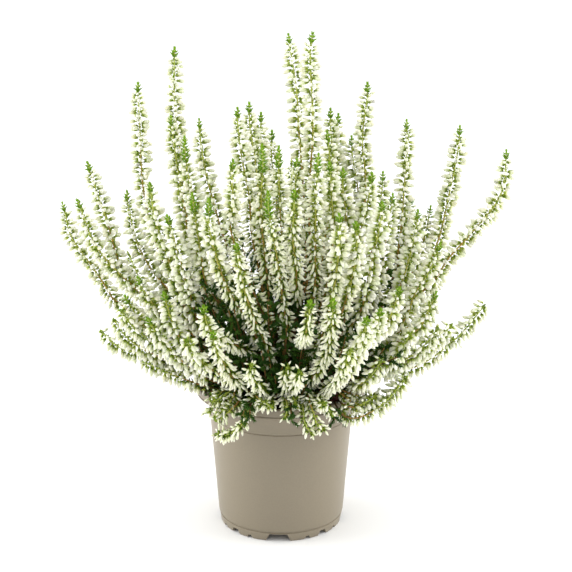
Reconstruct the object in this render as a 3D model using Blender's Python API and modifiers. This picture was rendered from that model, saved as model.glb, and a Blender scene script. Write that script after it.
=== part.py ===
"""White bud heather in a round plastic pot.

The pot is a turned shell, the soil fills it, and the plant is a bush of upright
flowering sprays that stand in plain holes in the soil. The sprays of the side that
the reference picture shows follow courses read from that picture, and the rest of
the bush follows the same habit by a seeded rule. Metres, +Z up, with the origin at
the middle of the pot's underside.
"""

import math
import random

import bmesh
import bpy
import numpy as np
from mathutils import Matrix, Vector

MM = 0.001

# Pot: sizes, its inner wall as (radius, height) from the rim down, and the outline that the plant keeps clear of
RIM_RADIUS = 60.0 * MM
RIM_HEIGHT = 104.0 * MM
NECK_RADIUS = 49.7 * MM
GROOVE_HEIGHT = 81.4 * MM
FOOT_RADIUS = 42.4 * MM
FOOT_TURN = math.radians(-92.5)
WALL = 1.6 * MM
FLOOR_TOP = 9.0 * MM
POT_SIDES = 32
INNER_WALL = [
    (RIM_RADIUS - WALL - 4.4 * MM, RIM_HEIGHT - 6.6 * MM),
    (RIM_RADIUS - WALL - 7.6 * MM, RIM_HEIGHT - 11.6 * MM),
    (RIM_RADIUS - WALL - 9.6 * MM, RIM_HEIGHT - 17.2 * MM),
    (NECK_RADIUS - WALL - 0.1 * MM, GROOVE_HEIGHT - 1 * MM),
    (FOOT_RADIUS - 0.6 * MM, FLOOR_TOP),
]
POT_GUARD = [np.array(place) * MM for place in ((51.5, 88), (59.2, 102), (50.5, 86), (49.5, 80), (43.5, 4))]

# Soil
SOIL_TOP = 94.0 * MM
SOIL_GAP = 0.3 * MM
HOLE_RADIUS = 2.0 * MM
HOLE_SIDES = 4
HOLE_DEPTH = 12.0 * MM

# Plant
SEED = 31
STEM_RADIUS = 1.25 * MM
STEM_TIP_RADIUS = 0.55 * MM
SPIKE_RADIUS = 5.9 * MM
WHORL_STEP = 13.5 * MM
LEAF_RADIUS = 3.4 * MM
LEAF_STEP = 9.0 * MM
BARE_STEP = 25.0 * MM
STEP = 6.0 * MM
BASE_REACH = 38.0 * MM
BACK_SPRAYS = 12
NODE_GAP = 0.35 * MM
EASING = 0.3

# The reference picture: where it was seen from, in millimetres, degrees and pixels
VIEW_DISTANCE = 1200.0
VIEW_HEIGHT = 557.2
VIEW_PITCH = math.radians(17.82)
VIEW_FOCUS = 1843.4
PICTURE_MIDDLE = (281.0, 286.0)
SOIL_LINE = 400.0

# Courses of the flowering spikes in the picture. A spray is a list of spikes, the
# first of which stands in the soil while the others branch from it. A spike is the
# depth of its tip behind the pot's middle, in millimetres, and its course from the tip
# down, in picture pixels. A third number on a point is that point's own depth.
SPRAYS = {
    "left_low": [
        (22, [(61.7, 200.5), (66, 217), (70, 235), (85, 257), (100, 278), (110, 293), (124, 307)]),
        (-35, [(137, 275), (142, 286), (152, 300)]),
    ],
    "left_mid": [
        (-18, [(76.3, 198), (83, 215), (90, 235), (100, 253), (119, 275), (140, 297), (160, 313)]),
        (-6, [(86.7, 160.5), (96, 190), (106, 218), (112, 240), (119, 266), (128, 284)]),
    ],
    "left_inner": [
        (12, [(126.7, 189), (128, 205), (131, 220), (137, 243), (147, 262), (160, 280)]),
        (50, [(138, 81), (138, 100), (140, 130), (142, 178), (147, 210), (155, 240), (166, 266)]),
    ],
    "left_front": [
        (-55, [(149.5, 181), (154, 215), (165, 250), (178, 288), (186, 315), (197, 342)]),
        (-64, [(166.8, 214), (172, 232), (180, 256), (186, 276)]),
    ],
    "left_top": [
        (30, [(170.5, 114), (172, 130), (175, 150), (178, 170), (186, 215), (194, 250)]),
        (-14, [(184.5, 135), (185, 150), (187, 170), (193, 195), (198, 220)]),
    ],
    "left_tall": [
        (45, [(174.5, 46), (174, 90), (176, 125), (180, 152), (183, 195), (190, 232)]),
    ],
    "left_crown": [
        (20, [(199, 117), (201, 145), (206, 175), (213, 200), (221, 230), (230, 256)]),
        (-62, [(191.8, 192), (195, 220), (200, 255), (208, 290)]),
    ],
    "front_left_long": [
        (-88, [(208.7, 197), (210, 230), (221, 270), (232, 293), (247, 318), (256, 340)]),
        (-104, [(203, 305), (206, 318), (214, 334)]),
    ],
    "low_left_long": [
        (-10, [(98, 328), (115, 345), (133.5, 353.5), (167, 367), (194, 377.6), (222, 386)]),
        (-22, [(112, 316), (122, 332), (136, 346)]),
    ],
    "low_left_inner": [
        (-38, [(119, 307), (130, 324), (146, 338), (164, 350)]),
        (-28, [(124, 294), (133, 308), (146, 324)]),
    ],
    "low_left_front": [
        (-66, [(146, 316), (155, 330), (170, 346), (188, 362)]),
        (-70, [(163, 291), (169, 310), (180, 334)]),
    ],
    "rim_left": [
        (-40, [(207, 396, -40), (218, 394, -38), (230, 391, -33)]),
        (-54, [(209, 410, -52), (221, 408, -50), (234, 402, -40)]),
        (-60, [(212, 420, -58), (224, 417, -58), (236, 409, -50)]),
    ],
    "droop_left": [
        (-54, [(214, 435.6, -54), (230, 435.5, -63), (243.5, 427.7, -70), (251, 410, -64), (256, 397, -44)]),
    ],
    "front_left_low": [
        (-116, [(213, 331), (215, 346), (224, 364), (238, 384)]),
        (-100, [(186, 338), (192, 350), (206, 366)]),
    ],
    "front_mid_low": [
        (-108, [(252, 363), (250, 376), (259, 388), (266, 396)]),
        (-66, [(251, 404, -68), (261, 405, -67), (270, 403, -60)]),
    ],
    "front_left_inner": [
        (-98, [(236, 242), (240, 270), (246, 297), (256, 326), (266, 350)]),
        (-60, [(233, 158), (232, 180), (233, 208), (231, 236)]),
    ],
    "crown_left": [
        (-5, [(237.5, 106), (238, 130), (243, 165), (249, 195), (252, 236), (262, 288)]),
        (60, [(272, 129), (271, 148), (272, 172), (274, 205)]),
    ],
    "crown_inner_left": [
        (25, [(249, 101), (250, 130), (254, 150), (258, 185), (262, 225)]),
        (50, [(261, 111), (261, 135), (262, 165), (264, 200)]),
    ],
    "crown_green": [
        (-44, [(262, 143), (263, 170), (261, 195), (262, 230), (266, 265)]),
        (-34, [(279, 145), (279, 180), (281, 215), (284, 250), (286, 285)]),
    ],
    "front_mid_long": [
        (-92, [(268, 190), (269, 215), (276, 250), (281, 280), (287, 308), (293, 336)]),
    ],
    "top_left": [
        (36, [(288, 32), (292, 60), (297, 95), (299, 135), (302, 170), (305, 230), (304, 285)]),
        (-24, [(297, 157), (296, 180), (297, 210), (300, 240)]),
    ],
    "top_right": [
        (-6, [(313, 31), (310, 60), (313, 120), (310, 175), (307, 225), (305, 270)]),
        (-80, [(294, 189), (294, 210), (293, 240), (297, 270)]),
    ],
    "front_right_long": [
        (-54, [(319, 152), (318, 200), (317, 240), (315, 285), (309, 325)]),
        (-118, [(311, 300), (309, 316), (306, 336)]),
    ],
    "crown_right": [
        (-12, [(327, 130), (329, 150), (330, 180), (328, 215)]),
        (45, [(330.5, 107), (331, 135), (336, 166), (342, 190), (338, 225)]),
    ],
    "crown_right_back": [
        (60, [(338.5, 112), (337, 140), (338, 175), (334, 215)]),
        (50, [(351.5, 134), (353, 160), (358, 186), (354, 220)]),
    ],
    "front_right_inner": [
        (-50, [(327, 162), (329, 195), (331, 225), (329, 260), (322, 295)]),
        (-34, [(343, 167), (343, 190), (346, 215), (342, 245)]),
    ],
    "front_right_mid": [
        (-98, [(339, 212), (341, 240), (338, 272), (332, 300), (322, 330)]),
    ],
    "front_right_low": [
        (-124, [(333, 298), (332, 325), (328, 356), (316, 380), (306, 394)]),
    ],
    "front_low_right": [
        (-124, [(367, 317), (364, 336), (356, 356), (340, 376)]),
        (-118, [(352, 348), (345, 362), (333, 380)]),
    ],
    "front_centre_low": [
        (-112, [(300, 371), (299, 384), (298, 395)]),
        (-96, [(288, 366), (287, 380), (288, 392)]),
    ],
    "droop_right": [
        (-72, [(317, 435, -70), (308, 432, -74), (302, 421, -75), (299, 407, -64), (299, 398, -44)]),
        (-86, [(326, 402, -86), (322, 404, -78), (314, 401, -66)]),
    ],
    "right_back_tall": [
        (45, [(367.5, 81), (367, 100), (364, 120), (362, 145), (365, 180), (358, 225)]),
        (60, [(383, 170), (382, 190), (378, 220), (370, 255)]),
    ],
    "right_front_inner": [
        (-72, [(382, 200), (381, 222), (373, 255), (366, 290), (354, 325)]),
        (-44, [(372, 171), (369, 195), (363, 222), (356, 250)]),
    ],
    "right_front_mid": [
        (-92, [(354, 221), (355, 250), (352, 272), (345, 298), (334, 326)]),
        (-106, [(381, 308), (377, 322), (364, 344)]),
    ],
    "right_tall": [
        (30, [(406.5, 118), (407, 150), (404, 190), (400, 240), (393, 278), (380, 310)]),
        (-22, [(393, 192), (390, 215), (386, 240), (382, 266)]),
    ],
    "right_mid": [
        (-38, [(418, 208), (417, 225), (411, 252), (402, 282), (388, 312)]),
        (-92, [(400, 286), (396, 302), (384, 326)]),
    ],
    "right_front": [
        (-48, [(441, 241), (430, 270), (416, 291), (404, 320), (386, 345)]),
        (-58, [(437, 290), (428, 312), (413, 334)]),
    ],
    "right_outer": [
        (25, [(460, 124), (458, 150), (450, 190), (440, 235), (428, 265), (408, 298)]),
    ],
    "right_far": [
        (-8, [(506.5, 148), (504, 185), (495, 205), (470, 235), (447, 260), (424, 290)]),
    ],
    "right_low_far": [
        (-10, [(487, 302), (465, 330), (445, 349), (422, 366), (399, 375)]),
        (-32, [(453.5, 321.8), (441, 338), (424, 354)]),
    ],
    "right_low": [
        (-62, [(412, 331), (403, 345), (386, 362)]),
        (-36, [(440.5, 325), (428, 340), (410, 355)]),
        (-58, [(385, 353, -58), (374, 367, -56), (360, 378, -48)]),
    ],
    "rim_right_long": [
        (-28, [(409, 371, -28), (394, 391, -33), (373, 404, -39), (354, 402, -45), (340, 391, -42), (330, 386, -32)]),
        (-34, [(381, 390, -36), (366, 398, -40)]),
    ],
}

# Low leafy shoots without flowers, in the same form: they fill the shade between the sprays.
LEAFY_SHOOTS = {
    "leafy_left": [
        (-46, [(196, 350), (206, 368)]),
        (-58, [(222, 358)]),
        (-30, [(178, 345)]),
    ],
    "leafy_front": [
        (-64, [(266, 344), (270, 366)]),
        (-72, [(283, 368)]),
        (-44, [(250, 330)]),
    ],
    "leafy_front_right": [
        (-80, [(347, 336), (338, 360)]),
        (-66, [(320, 350)]),
        (-46, [(352, 316)]),
    ],
    "leafy_right": [
        (-58, [(385, 350), (370, 370)]),
        (-40, [(366, 342)]),
        (-66, [(400, 356)]),
    ],
}


def pixel_place(u, v, depth):
    """The point in metres that the picture shows at (u, v), depth millimetres behind the pot's middle."""
    across = (u - PICTURE_MIDDLE[0]) / VIEW_FOCUS
    rise = (PICTURE_MIDDLE[1] - v) / VIEW_FOCUS
    sine = math.sin(VIEW_PITCH)
    cosine = math.cos(VIEW_PITCH)
    reach = (depth + VIEW_DISTANCE) / (cosine + rise * sine)
    height = VIEW_HEIGHT + reach * (rise * cosine - sine)
    return np.array([reach * across, depth, height]) * MM


def spline(controls, step):
    """Points about one step apart on a smooth curve through the control points."""
    controls = np.asarray(controls, float)
    padded = np.vstack([2 * controls[0] - controls[1], controls, 2 * controls[-1] - controls[-2]])
    points = []
    for before, start, end, after in zip(padded, padded[1:], padded[2:], padded[3:]):
        t = np.linspace(0, 1, 12, endpoint=False)[:, None]
        points.append(
            start
            + 0.5 * t * (end - before)
            + t**2 * (before - 2.5 * start + 2 * end - 0.5 * after)
            + t**3 * 0.5 * (after - before + 3 * (start - end))
        )
    return resample(np.vstack(points + [controls[-1:]]), step)


def resample(points, step):
    """The same course with its points evenly spaced, about one step apart."""
    lengths = np.linalg.norm(np.diff(points, axis=0), axis=1)
    along = np.concatenate([[0], np.cumsum(lengths)])
    count = max(4, round(along[-1] / step))
    wanted = np.linspace(0, along[-1], count + 1)
    return np.stack([np.interp(wanted, along, points[:, axis]) for axis in range(3)], axis=1)


def visible_course(depth, pixels, foot_depth):
    """The seen part of a spike, from below up, its depth easing from the foot's to the tip's."""
    tip_v = pixels[0][1]
    points = []
    for pixel in reversed(pixels):
        if len(pixel) == 3:
            points.append(pixel_place(*pixel))
            continue
        height = (SOIL_LINE - pixel[1]) / (SOIL_LINE - tip_v)
        points.append(pixel_place(*pixel, foot_depth + (depth - foot_depth) * max(height, 0) ** 0.6))
    return points


def foot_place(tip, low=None):
    """Where a spray leaves the soil: on the side of its lowest seen place, further out the more it leans."""
    lean = math.atan2(math.hypot(*tip[:2]), max(tip[2] - SOIL_TOP - 20 * MM, 0)) / math.radians(90)
    aim = np.array((tip if low is None else low)[:2])
    return aim / max(math.hypot(*aim), 1e-6) * BASE_REACH * min(lean, 0.84)


def back_sprays(rng):
    """Courses of the sprays on the side away from the picture, as lists of control points."""
    sprays = {}
    for index in range(BACK_SPRAYS):
        inner = index % 2 == 1
        turn = math.radians(8 + 164 * (index + 0.5) / BACK_SPRAYS + rng.uniform(-4, 4))
        reach = (rng.uniform(58, 92) if inner else rng.uniform(112, 130)) * MM
        top = (180 + 48 * math.sin(turn) ** 6 + (12 if inner else 0) + rng.uniform(-6, 6)) * MM
        spikes = []
        for side in range(3):
            if side:
                turn += math.radians((-13, 27)[side - 1])
                reach *= rng.uniform(0.82, 0.98)
                top -= rng.uniform(12, 34) * MM
            tip = np.array([reach * math.cos(turn), reach * math.sin(turn), top])
            foot = np.append(foot_place(tip), SOIL_TOP)
            low = foot + (tip - foot) * (0.42, 0.42, 0.2)
            mid = foot + (tip - foot) * (0.78, 0.78, 0.55)
            spikes.append([mid, tip] if side else [low, mid, tip])
        sprays[f"back_{index + 1:02d}"] = spikes
    return sprays


def planned_spikes():
    """Every spike as a dict: its spray, its points from below up and whether it branches off."""
    spikes = []
    for name, members in [*SPRAYS.items(), *LEAFY_SHOOTS.items()]:
        for order, (depth, pixels) in enumerate(members):
            tip = pixel_place(pixels[0][0], pixels[0][1], depth)
            low = pixel_place(*pixels[-1]) if len(pixels[-1]) == 3 else None
            foot = foot_place(tip, low)
            controls = visible_course(depth, pixels, foot[1] / MM)
            spikes.append(rooted_spike(name, order, controls, foot, spikes))
    for name, members in back_sprays(random.Random(SEED)).items():
        for order, controls in enumerate(members):
            spikes.append(rooted_spike(name, order, controls, foot_place(controls[-1]), spikes))
    return spikes


def rooted_spike(name, order, controls, foot, spikes):
    """A spike with its hidden lower end: in the soil for the first of a spray, on that one's stem for the others."""
    if order == 0:
        return new_spike(name, [np.array([*foot, SOIL_TOP + 1 * MM])] + controls, None)
    main = next(index for index, spike in enumerate(spikes) if spike["spray"] == name)
    stem = spikes[main]["points"]
    below = np.linalg.norm(stem - controls[0], axis=1).argmin()
    joint = int(min(max(below * 0.55, 3), len(stem) * 0.5)) + order - 1
    spikes[main]["joints"].append(joint)
    return new_spike(name, [stem[joint]] + controls, (main, joint))


def new_spike(name, controls, joint):
    """A spike on a smooth course. One that stands in the soil has two more points, straight down its hole."""
    leafy = name in LEAFY_SHOOTS
    widest = LEAF_RADIUS if leafy else SPIKE_RADIUS
    points = spline(controls, STEP)
    if joint is None:
        bottom = SOIL_TOP - HOLE_DEPTH + SOIL_GAP
        standing = [(*points[0][:2], bottom + share * (points[0][2] - bottom)) for share in (0, 0.5)]
        points = np.vstack([standing, points])
    return {
        "spray": name,
        "points": points,
        "joint": joint,
        "joints": [],
        "leafy": leafy,
        "widest": widest,
    }


def flower_start(spike):
    """How far along a spike, as a fraction, its buds begin."""
    length = len(spike["points"]) * STEP
    if spike["leafy"]:
        return min(0.35, 15 * MM / length)
    if spike["joint"]:
        return min(0.3, 14 * MM / length)
    return min(0.42, 52 * MM / length)


def reach_along(spike):
    """The room that a spike wants at each of its points: a bare stem below, buds above, a slim tip."""
    share = np.linspace(0, 1, len(spike["points"]))
    reach = np.where(share < flower_start(spike), 1.7 * STEM_RADIUS, spike["widest"])
    reach[-2:] = 3.2 * MM
    return reach


def pot_push(points, reach, least=0):
    """How far each point has to move to keep its reach, or at least that much, clear of the pot and the soil."""
    flat = np.maximum(np.hypot(points[:, 0], points[:, 1]), 1e-6)
    outward = np.stack([points[:, 0] / flat, points[:, 1] / flat], axis=1)
    place = np.stack([flat, points[:, 2]], axis=1)
    need = np.maximum(reach, least)
    push = np.zeros_like(points)
    for start, end in zip(POT_GUARD, POT_GUARD[1:]):
        run = end - start
        share = np.clip((place - start) @ run / (run @ run), 0, 1)
        away = place - (start + share[:, None] * run)
        gap = np.maximum(np.linalg.norm(away, axis=1), 1e-6)
        short = np.maximum(need + 1.4 * MM - gap, 0) / gap
        push[:, :2] += outward * (away[:, 0] * short)[:, None]
        push[:, 2] += away[:, 1] * short
    over_soil = (flat < POT_GUARD[0][0]) & (reach > 3 * MM)
    push[:, 2] += np.where(over_soil, np.maximum(SOIL_TOP + reach + 1 * MM - points[:, 2], 0), 0)
    over_rim = (np.abs(flat - RIM_RADIUS + 4 * MM) < 7.5 * MM) & (points[:, 2] > GROOVE_HEIGHT)
    push[:, 2] += np.where(over_rim, np.maximum(RIM_HEIGHT + 0.9 * need + 1 * MM - points[:, 2], 0), 0)
    return push


def close_pairs(points, group, limit):
    """The pairs of points of different sprays that lie within the limit of each other."""
    near = []
    for index in range(len(points) - 1):
        gap = np.abs(points[index + 1 :] - points[index]).max(axis=1)
        others = np.nonzero((gap < limit) & (group[index + 1 :] != group[index]))[0] + index + 1
        near.append(np.stack([np.full(len(others), index), others], axis=1))
    return np.vstack(near)


def settle(spikes, rounds=120):
    """Bends the spikes apart until each has room, mostly in depth, so that the picture's courses stay."""
    owner = np.concatenate([np.full(len(spike["points"]), index) for index, spike in enumerate(spikes)])
    names = [spike["spray"] for spike in spikes]
    group = np.array([names.index(name) for name in names])[owner]
    reach = np.concatenate([reach_along(spike) for spike in spikes])
    ends = np.cumsum([0] + [len(spike["points"]) for spike in spikes])
    points = np.vstack([spike["points"] for spike in spikes])
    courses = points.copy()
    yielding = np.where(reach[:, None] < 3 * MM, (0.8, 1.0, 0.2), (0.3, 1.0, 0.3))
    for turn in range(rounds):
        if turn % 10 == 0:
            first, second = close_pairs(points, group, 2 * SPIKE_RADIUS + 12 * MM).T
        apart = points[first] - points[second]
        gap = np.linalg.norm(apart, axis=1) + 1e-9
        short = np.maximum(reach[first] + reach[second] + 2 * NODE_GAP - gap, 0)
        force = 0.5 * apart * (short / gap)[:, None]
        push = np.zeros_like(points)
        np.add.at(push, first, force)
        np.add.at(push, second, -force)
        push *= yielding
        size = np.linalg.norm(push, axis=1, keepdims=True)
        push *= np.minimum(1, 2.0 * MM / np.maximum(size, 1e-9))
        push += 0.6 * pot_push(points, reach, 4.5 * MM)
        for index, spike in enumerate(spikes):
            span = slice(ends[index], ends[index + 1])
            moved = push[span]
            smooth = np.vstack([moved[:1], moved[:1], moved, moved[-1:], moved[-1:]])
            moved = (smooth[:-4] + 2 * smooth[1:-3] + 3 * smooth[2:-2] + 2 * smooth[3:-1] + smooth[4:]) / 9
            if spike["joint"] is None:
                moved[:3, 2] = 0
                moved[:3, :2] = push[span][:3, :2].mean(axis=0)
            points[span] += moved
            bent = points[span] - courses[span]
            bent[3:-1] += EASING * (0.5 * (bent[2:-2] + bent[4:]) - bent[3:-1])
            points[span] = courses[span] + bent
            if spike["joint"]:
                main, joint = spike["joint"]
                shift = points[ends[main] + joint] - points[ends[index]]
                fade = np.clip(1 - np.arange(ends[index + 1] - ends[index]) / 6, 0, 1)
                points[span] += shift * fade[:, None]
    for index, spike in enumerate(spikes):
        spike["points"] = points[ends[index] : ends[index + 1]]


def bud_room(spikes):
    """Gives each spike the reach its buds can take at each point without touching another spray or the pot."""
    fine = [resample(spike["points"], STEP / 2) for spike in spikes]
    for index, spike in enumerate(spikes):
        room = np.full(len(fine[index]), spike["widest"])
        for other, rival in enumerate(spikes):
            if rival["spray"] == spike["spray"]:
                continue
            gap = np.linalg.norm(fine[index][:, None, :] - fine[other][None, :, :], axis=2)
            bare = np.linspace(0, 1, len(fine[other])) < flower_start(rival)
            shared = np.where(bare, gap - STEM_RADIUS * 1.1 - NODE_GAP, (gap - NODE_GAP) / 2)
            room = np.minimum(room, shared.min(axis=1))
        low, high = np.zeros(len(room)), np.full(len(room), spike["widest"])
        for _ in range(12):
            middle = (low + high) / 2
            blocked = np.abs(pot_push(fine[index], middle - 1 * MM)).sum(axis=1) > 0
            high = np.where(blocked, middle, high)
            low = np.where(blocked, low, middle)
        spike["room"] = np.minimum(room, np.maximum(low, 0))
        spike["fine"] = fine[index]


def frames_along(points):
    """A sideways and an upward direction at each point, carried along the course without twisting."""
    tangents = np.gradient(points, axis=0)
    tangents /= np.linalg.norm(tangents, axis=1, keepdims=True)
    side = np.cross(tangents[0], (0.31, 0.87, 0.12))
    sides = []
    for tangent in tangents:
        side = side - tangent * (side @ tangent)
        side /= np.linalg.norm(side)
        sides.append(side)
    sides = np.array(sides)
    return tangents, sides, np.cross(tangents, sides)


def spike_mesh(spike):
    """One spike as a closed three-sided stem whose faces are raised into buds, with a leafy tip."""
    points = spike["points"]
    along = np.concatenate([[0], np.cumsum(np.linalg.norm(np.diff(points, axis=0), axis=1))])
    length = along[-1]
    start = flower_start(spike) * length
    tip_start = length - 9 * MM
    if spike["joint"]:
        bare = np.linspace(0, start, max(2, round(start / BARE_STEP) + 1))
    else:
        bare = np.append(0, np.linspace(along[2], start, max(2, round((start - along[2]) / BARE_STEP) + 1)))
    step = LEAF_STEP if spike["leafy"] else WHORL_STEP
    whorls = np.linspace(start, tip_start, max(2, round((tip_start - start) / step) + 1))[1:]
    heights = np.concatenate([bare, whorls, [length - 5.5 * MM, length]])
    for joint in spike["joints"]:
        nearest = 2 + np.abs(heights[2:-3] - along[joint]).argmin()
        heights[nearest] = along[joint]
    centres = np.stack([np.interp(heights, along, points[:, axis]) for axis in range(3)], axis=1)
    tangents, sides, ups = frames_along(centres)
    rows = len(heights) - 1
    thick = STEM_RADIUS + (STEM_TIP_RADIUS - STEM_RADIUS) * heights / length
    if spike["joint"]:
        thick = 0.8 * thick
        thick[0] = 0.45 * MM
    thick[-2] = 2.0 * MM
    thick[-1] = 0
    turns = np.cumsum([0] + [math.radians(60) if step >= len(bare) - 1 else 0 for step in range(rows)])

    bm = bmesh.new()
    bmesh.ops.create_grid(bm, x_segments=3, y_segments=rows, size=1)
    for vert in bm.verts:
        vert.co = Vector(((vert.co.x + 1) * 1.5, (vert.co.y + 1) * rows / 2, 0))
    budding = []
    for face in bm.faces:
        row = face.calc_center_median().y
        if len(bare) - 1 < row < rows - 2 and room_at(spike, heights, row) > 2.2 * MM:
            budding.append(face)
    bmesh.ops.poke(bm, faces=budding)
    for vert in bm.verts:
        u, row = vert.co.x, vert.co.y
        below = min(int(row + 0.01), rows - 1)
        part = row - below
        middle = centres[below] * (1 - part) + centres[below + 1] * part
        turn = turns[below] * (1 - part) + turns[below + 1] * part + u * 2 * math.pi / 3
        outward = sides[below] * math.cos(turn) + ups[below] * math.sin(turn)
        if 0.3 < part < 0.7:
            nod = math.radians(40) if spike["leafy"] else bud_nod(row, len(bare), rows)
            size = room_at(spike, heights, row)
            place = middle + size * (math.cos(nod) * outward + math.sin(nod) * tangents[below])
        else:
            place = middle + outward * (thick[below] * (1 - part) + thick[below + 1] * part)
        vert.co = Vector(place)
    bmesh.ops.remove_doubles(bm, verts=bm.verts, dist=0.00001)
    bmesh.ops.holes_fill(bm, edges=bm.edges, sides=3)
    bmesh.ops.recalc_face_normals(bm, faces=bm.faces)
    return bm


def room_at(spike, heights, row):
    """The room that the buds have at this row of the spike."""
    below = int(row)
    height = heights[below] + (heights[below + 1] - heights[below]) * (row - below)
    share = height / heights[-1] * (len(spike["room"]) - 1)
    near = spike["room"][max(0, int(share) - 1) : int(share) + 3]
    return float(near.min())


def bud_nod(row, first, last):
    """Buds rise a little at the top of a spike and nod further towards its foot."""
    share = (row - first) / max(last - first, 1)
    return math.radians(-34 + 52 * share)


def new_object(name, bm, collection):
    mesh = bpy.data.meshes.new(name)
    bm.to_mesh(mesh)
    bm.free()
    built = bpy.data.objects.new(name, mesh)
    collection.objects.link(built)
    return built


def applied(built):
    """The object with its modifiers made part of its mesh."""
    graph = bpy.context.evaluated_depsgraph_get()
    mesh = bpy.data.meshes.new_from_object(built.evaluated_get(graph))
    built.modifiers.clear()
    built.data = mesh
    return built


def keep_outer_shell(mesh):
    """Drops the closed pockets that a union can leave between crossing buds, and its hair-thin slivers."""
    bm = bmesh.new()
    bm.from_mesh(mesh)
    bmesh.ops.remove_doubles(bm, verts=bm.verts, dist=0.000001)
    shells = []
    left = set(bm.faces)
    while left:
        front = [left.pop()]
        shell = []
        while front:
            face = front.pop()
            shell.append(face)
            near = {other for edge in face.edges for other in edge.link_faces} & left
            left -= near
            front.extend(near)
        shells.append(shell)
    shells.sort(key=len)
    inner = [face for shell in shells[:-1] for face in shell]
    bmesh.ops.delete(bm, geom=inner, context="FACES")
    bm.to_mesh(mesh)
    bm.free()


def painted(name, colour, roughness):
    material = bpy.data.materials.new(name)
    material.use_nodes = True
    shader = material.node_tree.nodes["Principled BSDF"]
    shader.inputs["Base Color"].default_value = (*colour, 1)
    shader.inputs["Roughness"].default_value = roughness
    shader.inputs["Metallic"].default_value = 0
    return material


def build_spray(name, members, parts, material):
    """A spray's spikes joined into one body by a union."""
    title = name if members[0]["leafy"] else f"spray_{name}"
    first, *others = [new_object(title, spike_mesh(spike), parts) for spike in members]
    if others:
        joined = bpy.data.collections.new("joining")
        for other in others:
            parts.objects.unlink(other)
            joined.objects.link(other)
        bpy.context.scene.collection.children.link(joined)
        union = first.modifiers.new("union", "BOOLEAN")
        union.operation = "UNION"
        union.operand_type = "COLLECTION"
        union.collection = joined
        union.solver = "MANIFOLD"
        applied(first)
        keep_outer_shell(first.data)
        for other in others:
            bpy.data.objects.remove(other)
        bpy.data.collections.remove(joined)
    first.data.materials.clear()
    first.data.materials.append(material)
    return first


def turned(name, profile, collection):
    """A solid turned round the Z axis from an outline of (radius, height) points."""
    bm = bmesh.new()
    verts = [bm.verts.new((radius, 0, height)) for radius, height in profile]
    for start, end in zip(verts, verts[1:]):
        bm.edges.new((start, end))
    built = new_object(name, bm, collection)
    screw = built.modifiers.new("turn", "SCREW")
    screw.axis = "Z"
    screw.steps = POT_SIDES
    screw.render_steps = POT_SIDES
    screw.use_merge_vertices = True
    screw.merge_threshold = 0.00005
    return built


def cut(target, cutter):
    modifier = target.modifiers.new("cut", "BOOLEAN")
    modifier.operation = "DIFFERENCE"
    modifier.object = cutter
    modifier.solver = "EXACT"


def hidden_cutter(name, bm, cutters):
    cutter = new_object(name, bm, cutters)
    cutter.hide_render = True
    cutter.display_type = "WIRE"
    return cutter


def add_notch(bm, turn, foot_width, top_width, height):
    """A trapezoid cut through the foot ring, wider below."""
    made = bmesh.ops.create_cube(bm, size=1)["verts"]
    for vert in made:
        upper = vert.co.z > 0
        vert.co.y *= top_width if upper else foot_width
        vert.co.z = height if upper else -1 * MM
        vert.co.x = FOOT_RADIUS - 3 * MM + vert.co.x * 14 * MM
    bmesh.ops.rotate(bm, verts=made, cent=(0, 0, 0), matrix=Matrix.Rotation(turn, 3, "Z"))


def build_pot(parts, cutters):
    """The turned pot with its flared collar, the groove under it, and the notched foot."""
    outer = [
        (RIM_RADIUS - 0.9 * MM, RIM_HEIGHT),
        (RIM_RADIUS, RIM_HEIGHT - 0.9 * MM),
        (RIM_RADIUS - 0.3 * MM, RIM_HEIGHT - 5.6 * MM),
        (RIM_RADIUS - 1.3 * MM, RIM_HEIGHT - 6.3 * MM),
        (RIM_RADIUS - 5.2 * MM, RIM_HEIGHT - 8.8 * MM),
        (RIM_RADIUS - 8.0 * MM, RIM_HEIGHT - 12.8 * MM),
        (RIM_RADIUS - 9.6 * MM, RIM_HEIGHT - 17.6 * MM),
        (NECK_RADIUS + 0.1 * MM, GROOVE_HEIGHT + 1.1 * MM),
        (NECK_RADIUS - 0.6 * MM, GROOVE_HEIGHT + 0.3 * MM),
        (NECK_RADIUS - 0.1 * MM, GROOVE_HEIGHT - 0.9 * MM),
        (FOOT_RADIUS + 1.4 * MM, 8.2 * MM),
        (FOOT_RADIUS + 0.5 * MM, 6.0 * MM),
        (FOOT_RADIUS, 0),
    ]
    inner = [
        (FOOT_RADIUS - 2.8 * MM, 0),
        (FOOT_RADIUS - 2.2 * MM, 6.2 * MM),
        (0, 6.2 * MM),
        (0, FLOOR_TOP),
        *reversed(INNER_WALL),
        (RIM_RADIUS - 2.2 * MM, RIM_HEIGHT),
        (RIM_RADIUS - 0.9 * MM, RIM_HEIGHT),
    ]
    pot = turned("pot", outer + inner, parts)
    notches = bmesh.new()
    for quarter in range(4):
        turn = FOOT_TURN + quarter * math.pi / 2
        add_notch(notches, turn, 17 * MM, 12 * MM, 5.4 * MM)
        add_notch(notches, turn + math.radians(45), 9 * MM, 4.5 * MM, 3.6 * MM)
        for side in (-1, 1):
            add_notch(notches, turn + side * math.radians(28), 6 * MM, 3 * MM, 1.7 * MM)
    cut(pot, hidden_cutter("foot_notches", notches, cutters))
    drains = bmesh.new()
    for index in range(4):
        turn = FOOT_TURN + math.pi * index / 2
        place = Matrix.Translation((24 * MM * math.cos(turn), 24 * MM * math.sin(turn), 7.5 * MM))
        bmesh.ops.create_cone(
            drains, cap_ends=True, segments=8, radius1=4.5 * MM, radius2=4.5 * MM, depth=8 * MM, matrix=place
        )
    cut(pot, hidden_cutter("drain_holes", drains, cutters))
    pot.data.materials.append(painted("pot_taupe_plastic", (0.33, 0.28, 0.215), 0.45))
    pot.data.shade_smooth()
    pot.data.set_sharp_from_angle(angle=math.radians(30))


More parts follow.
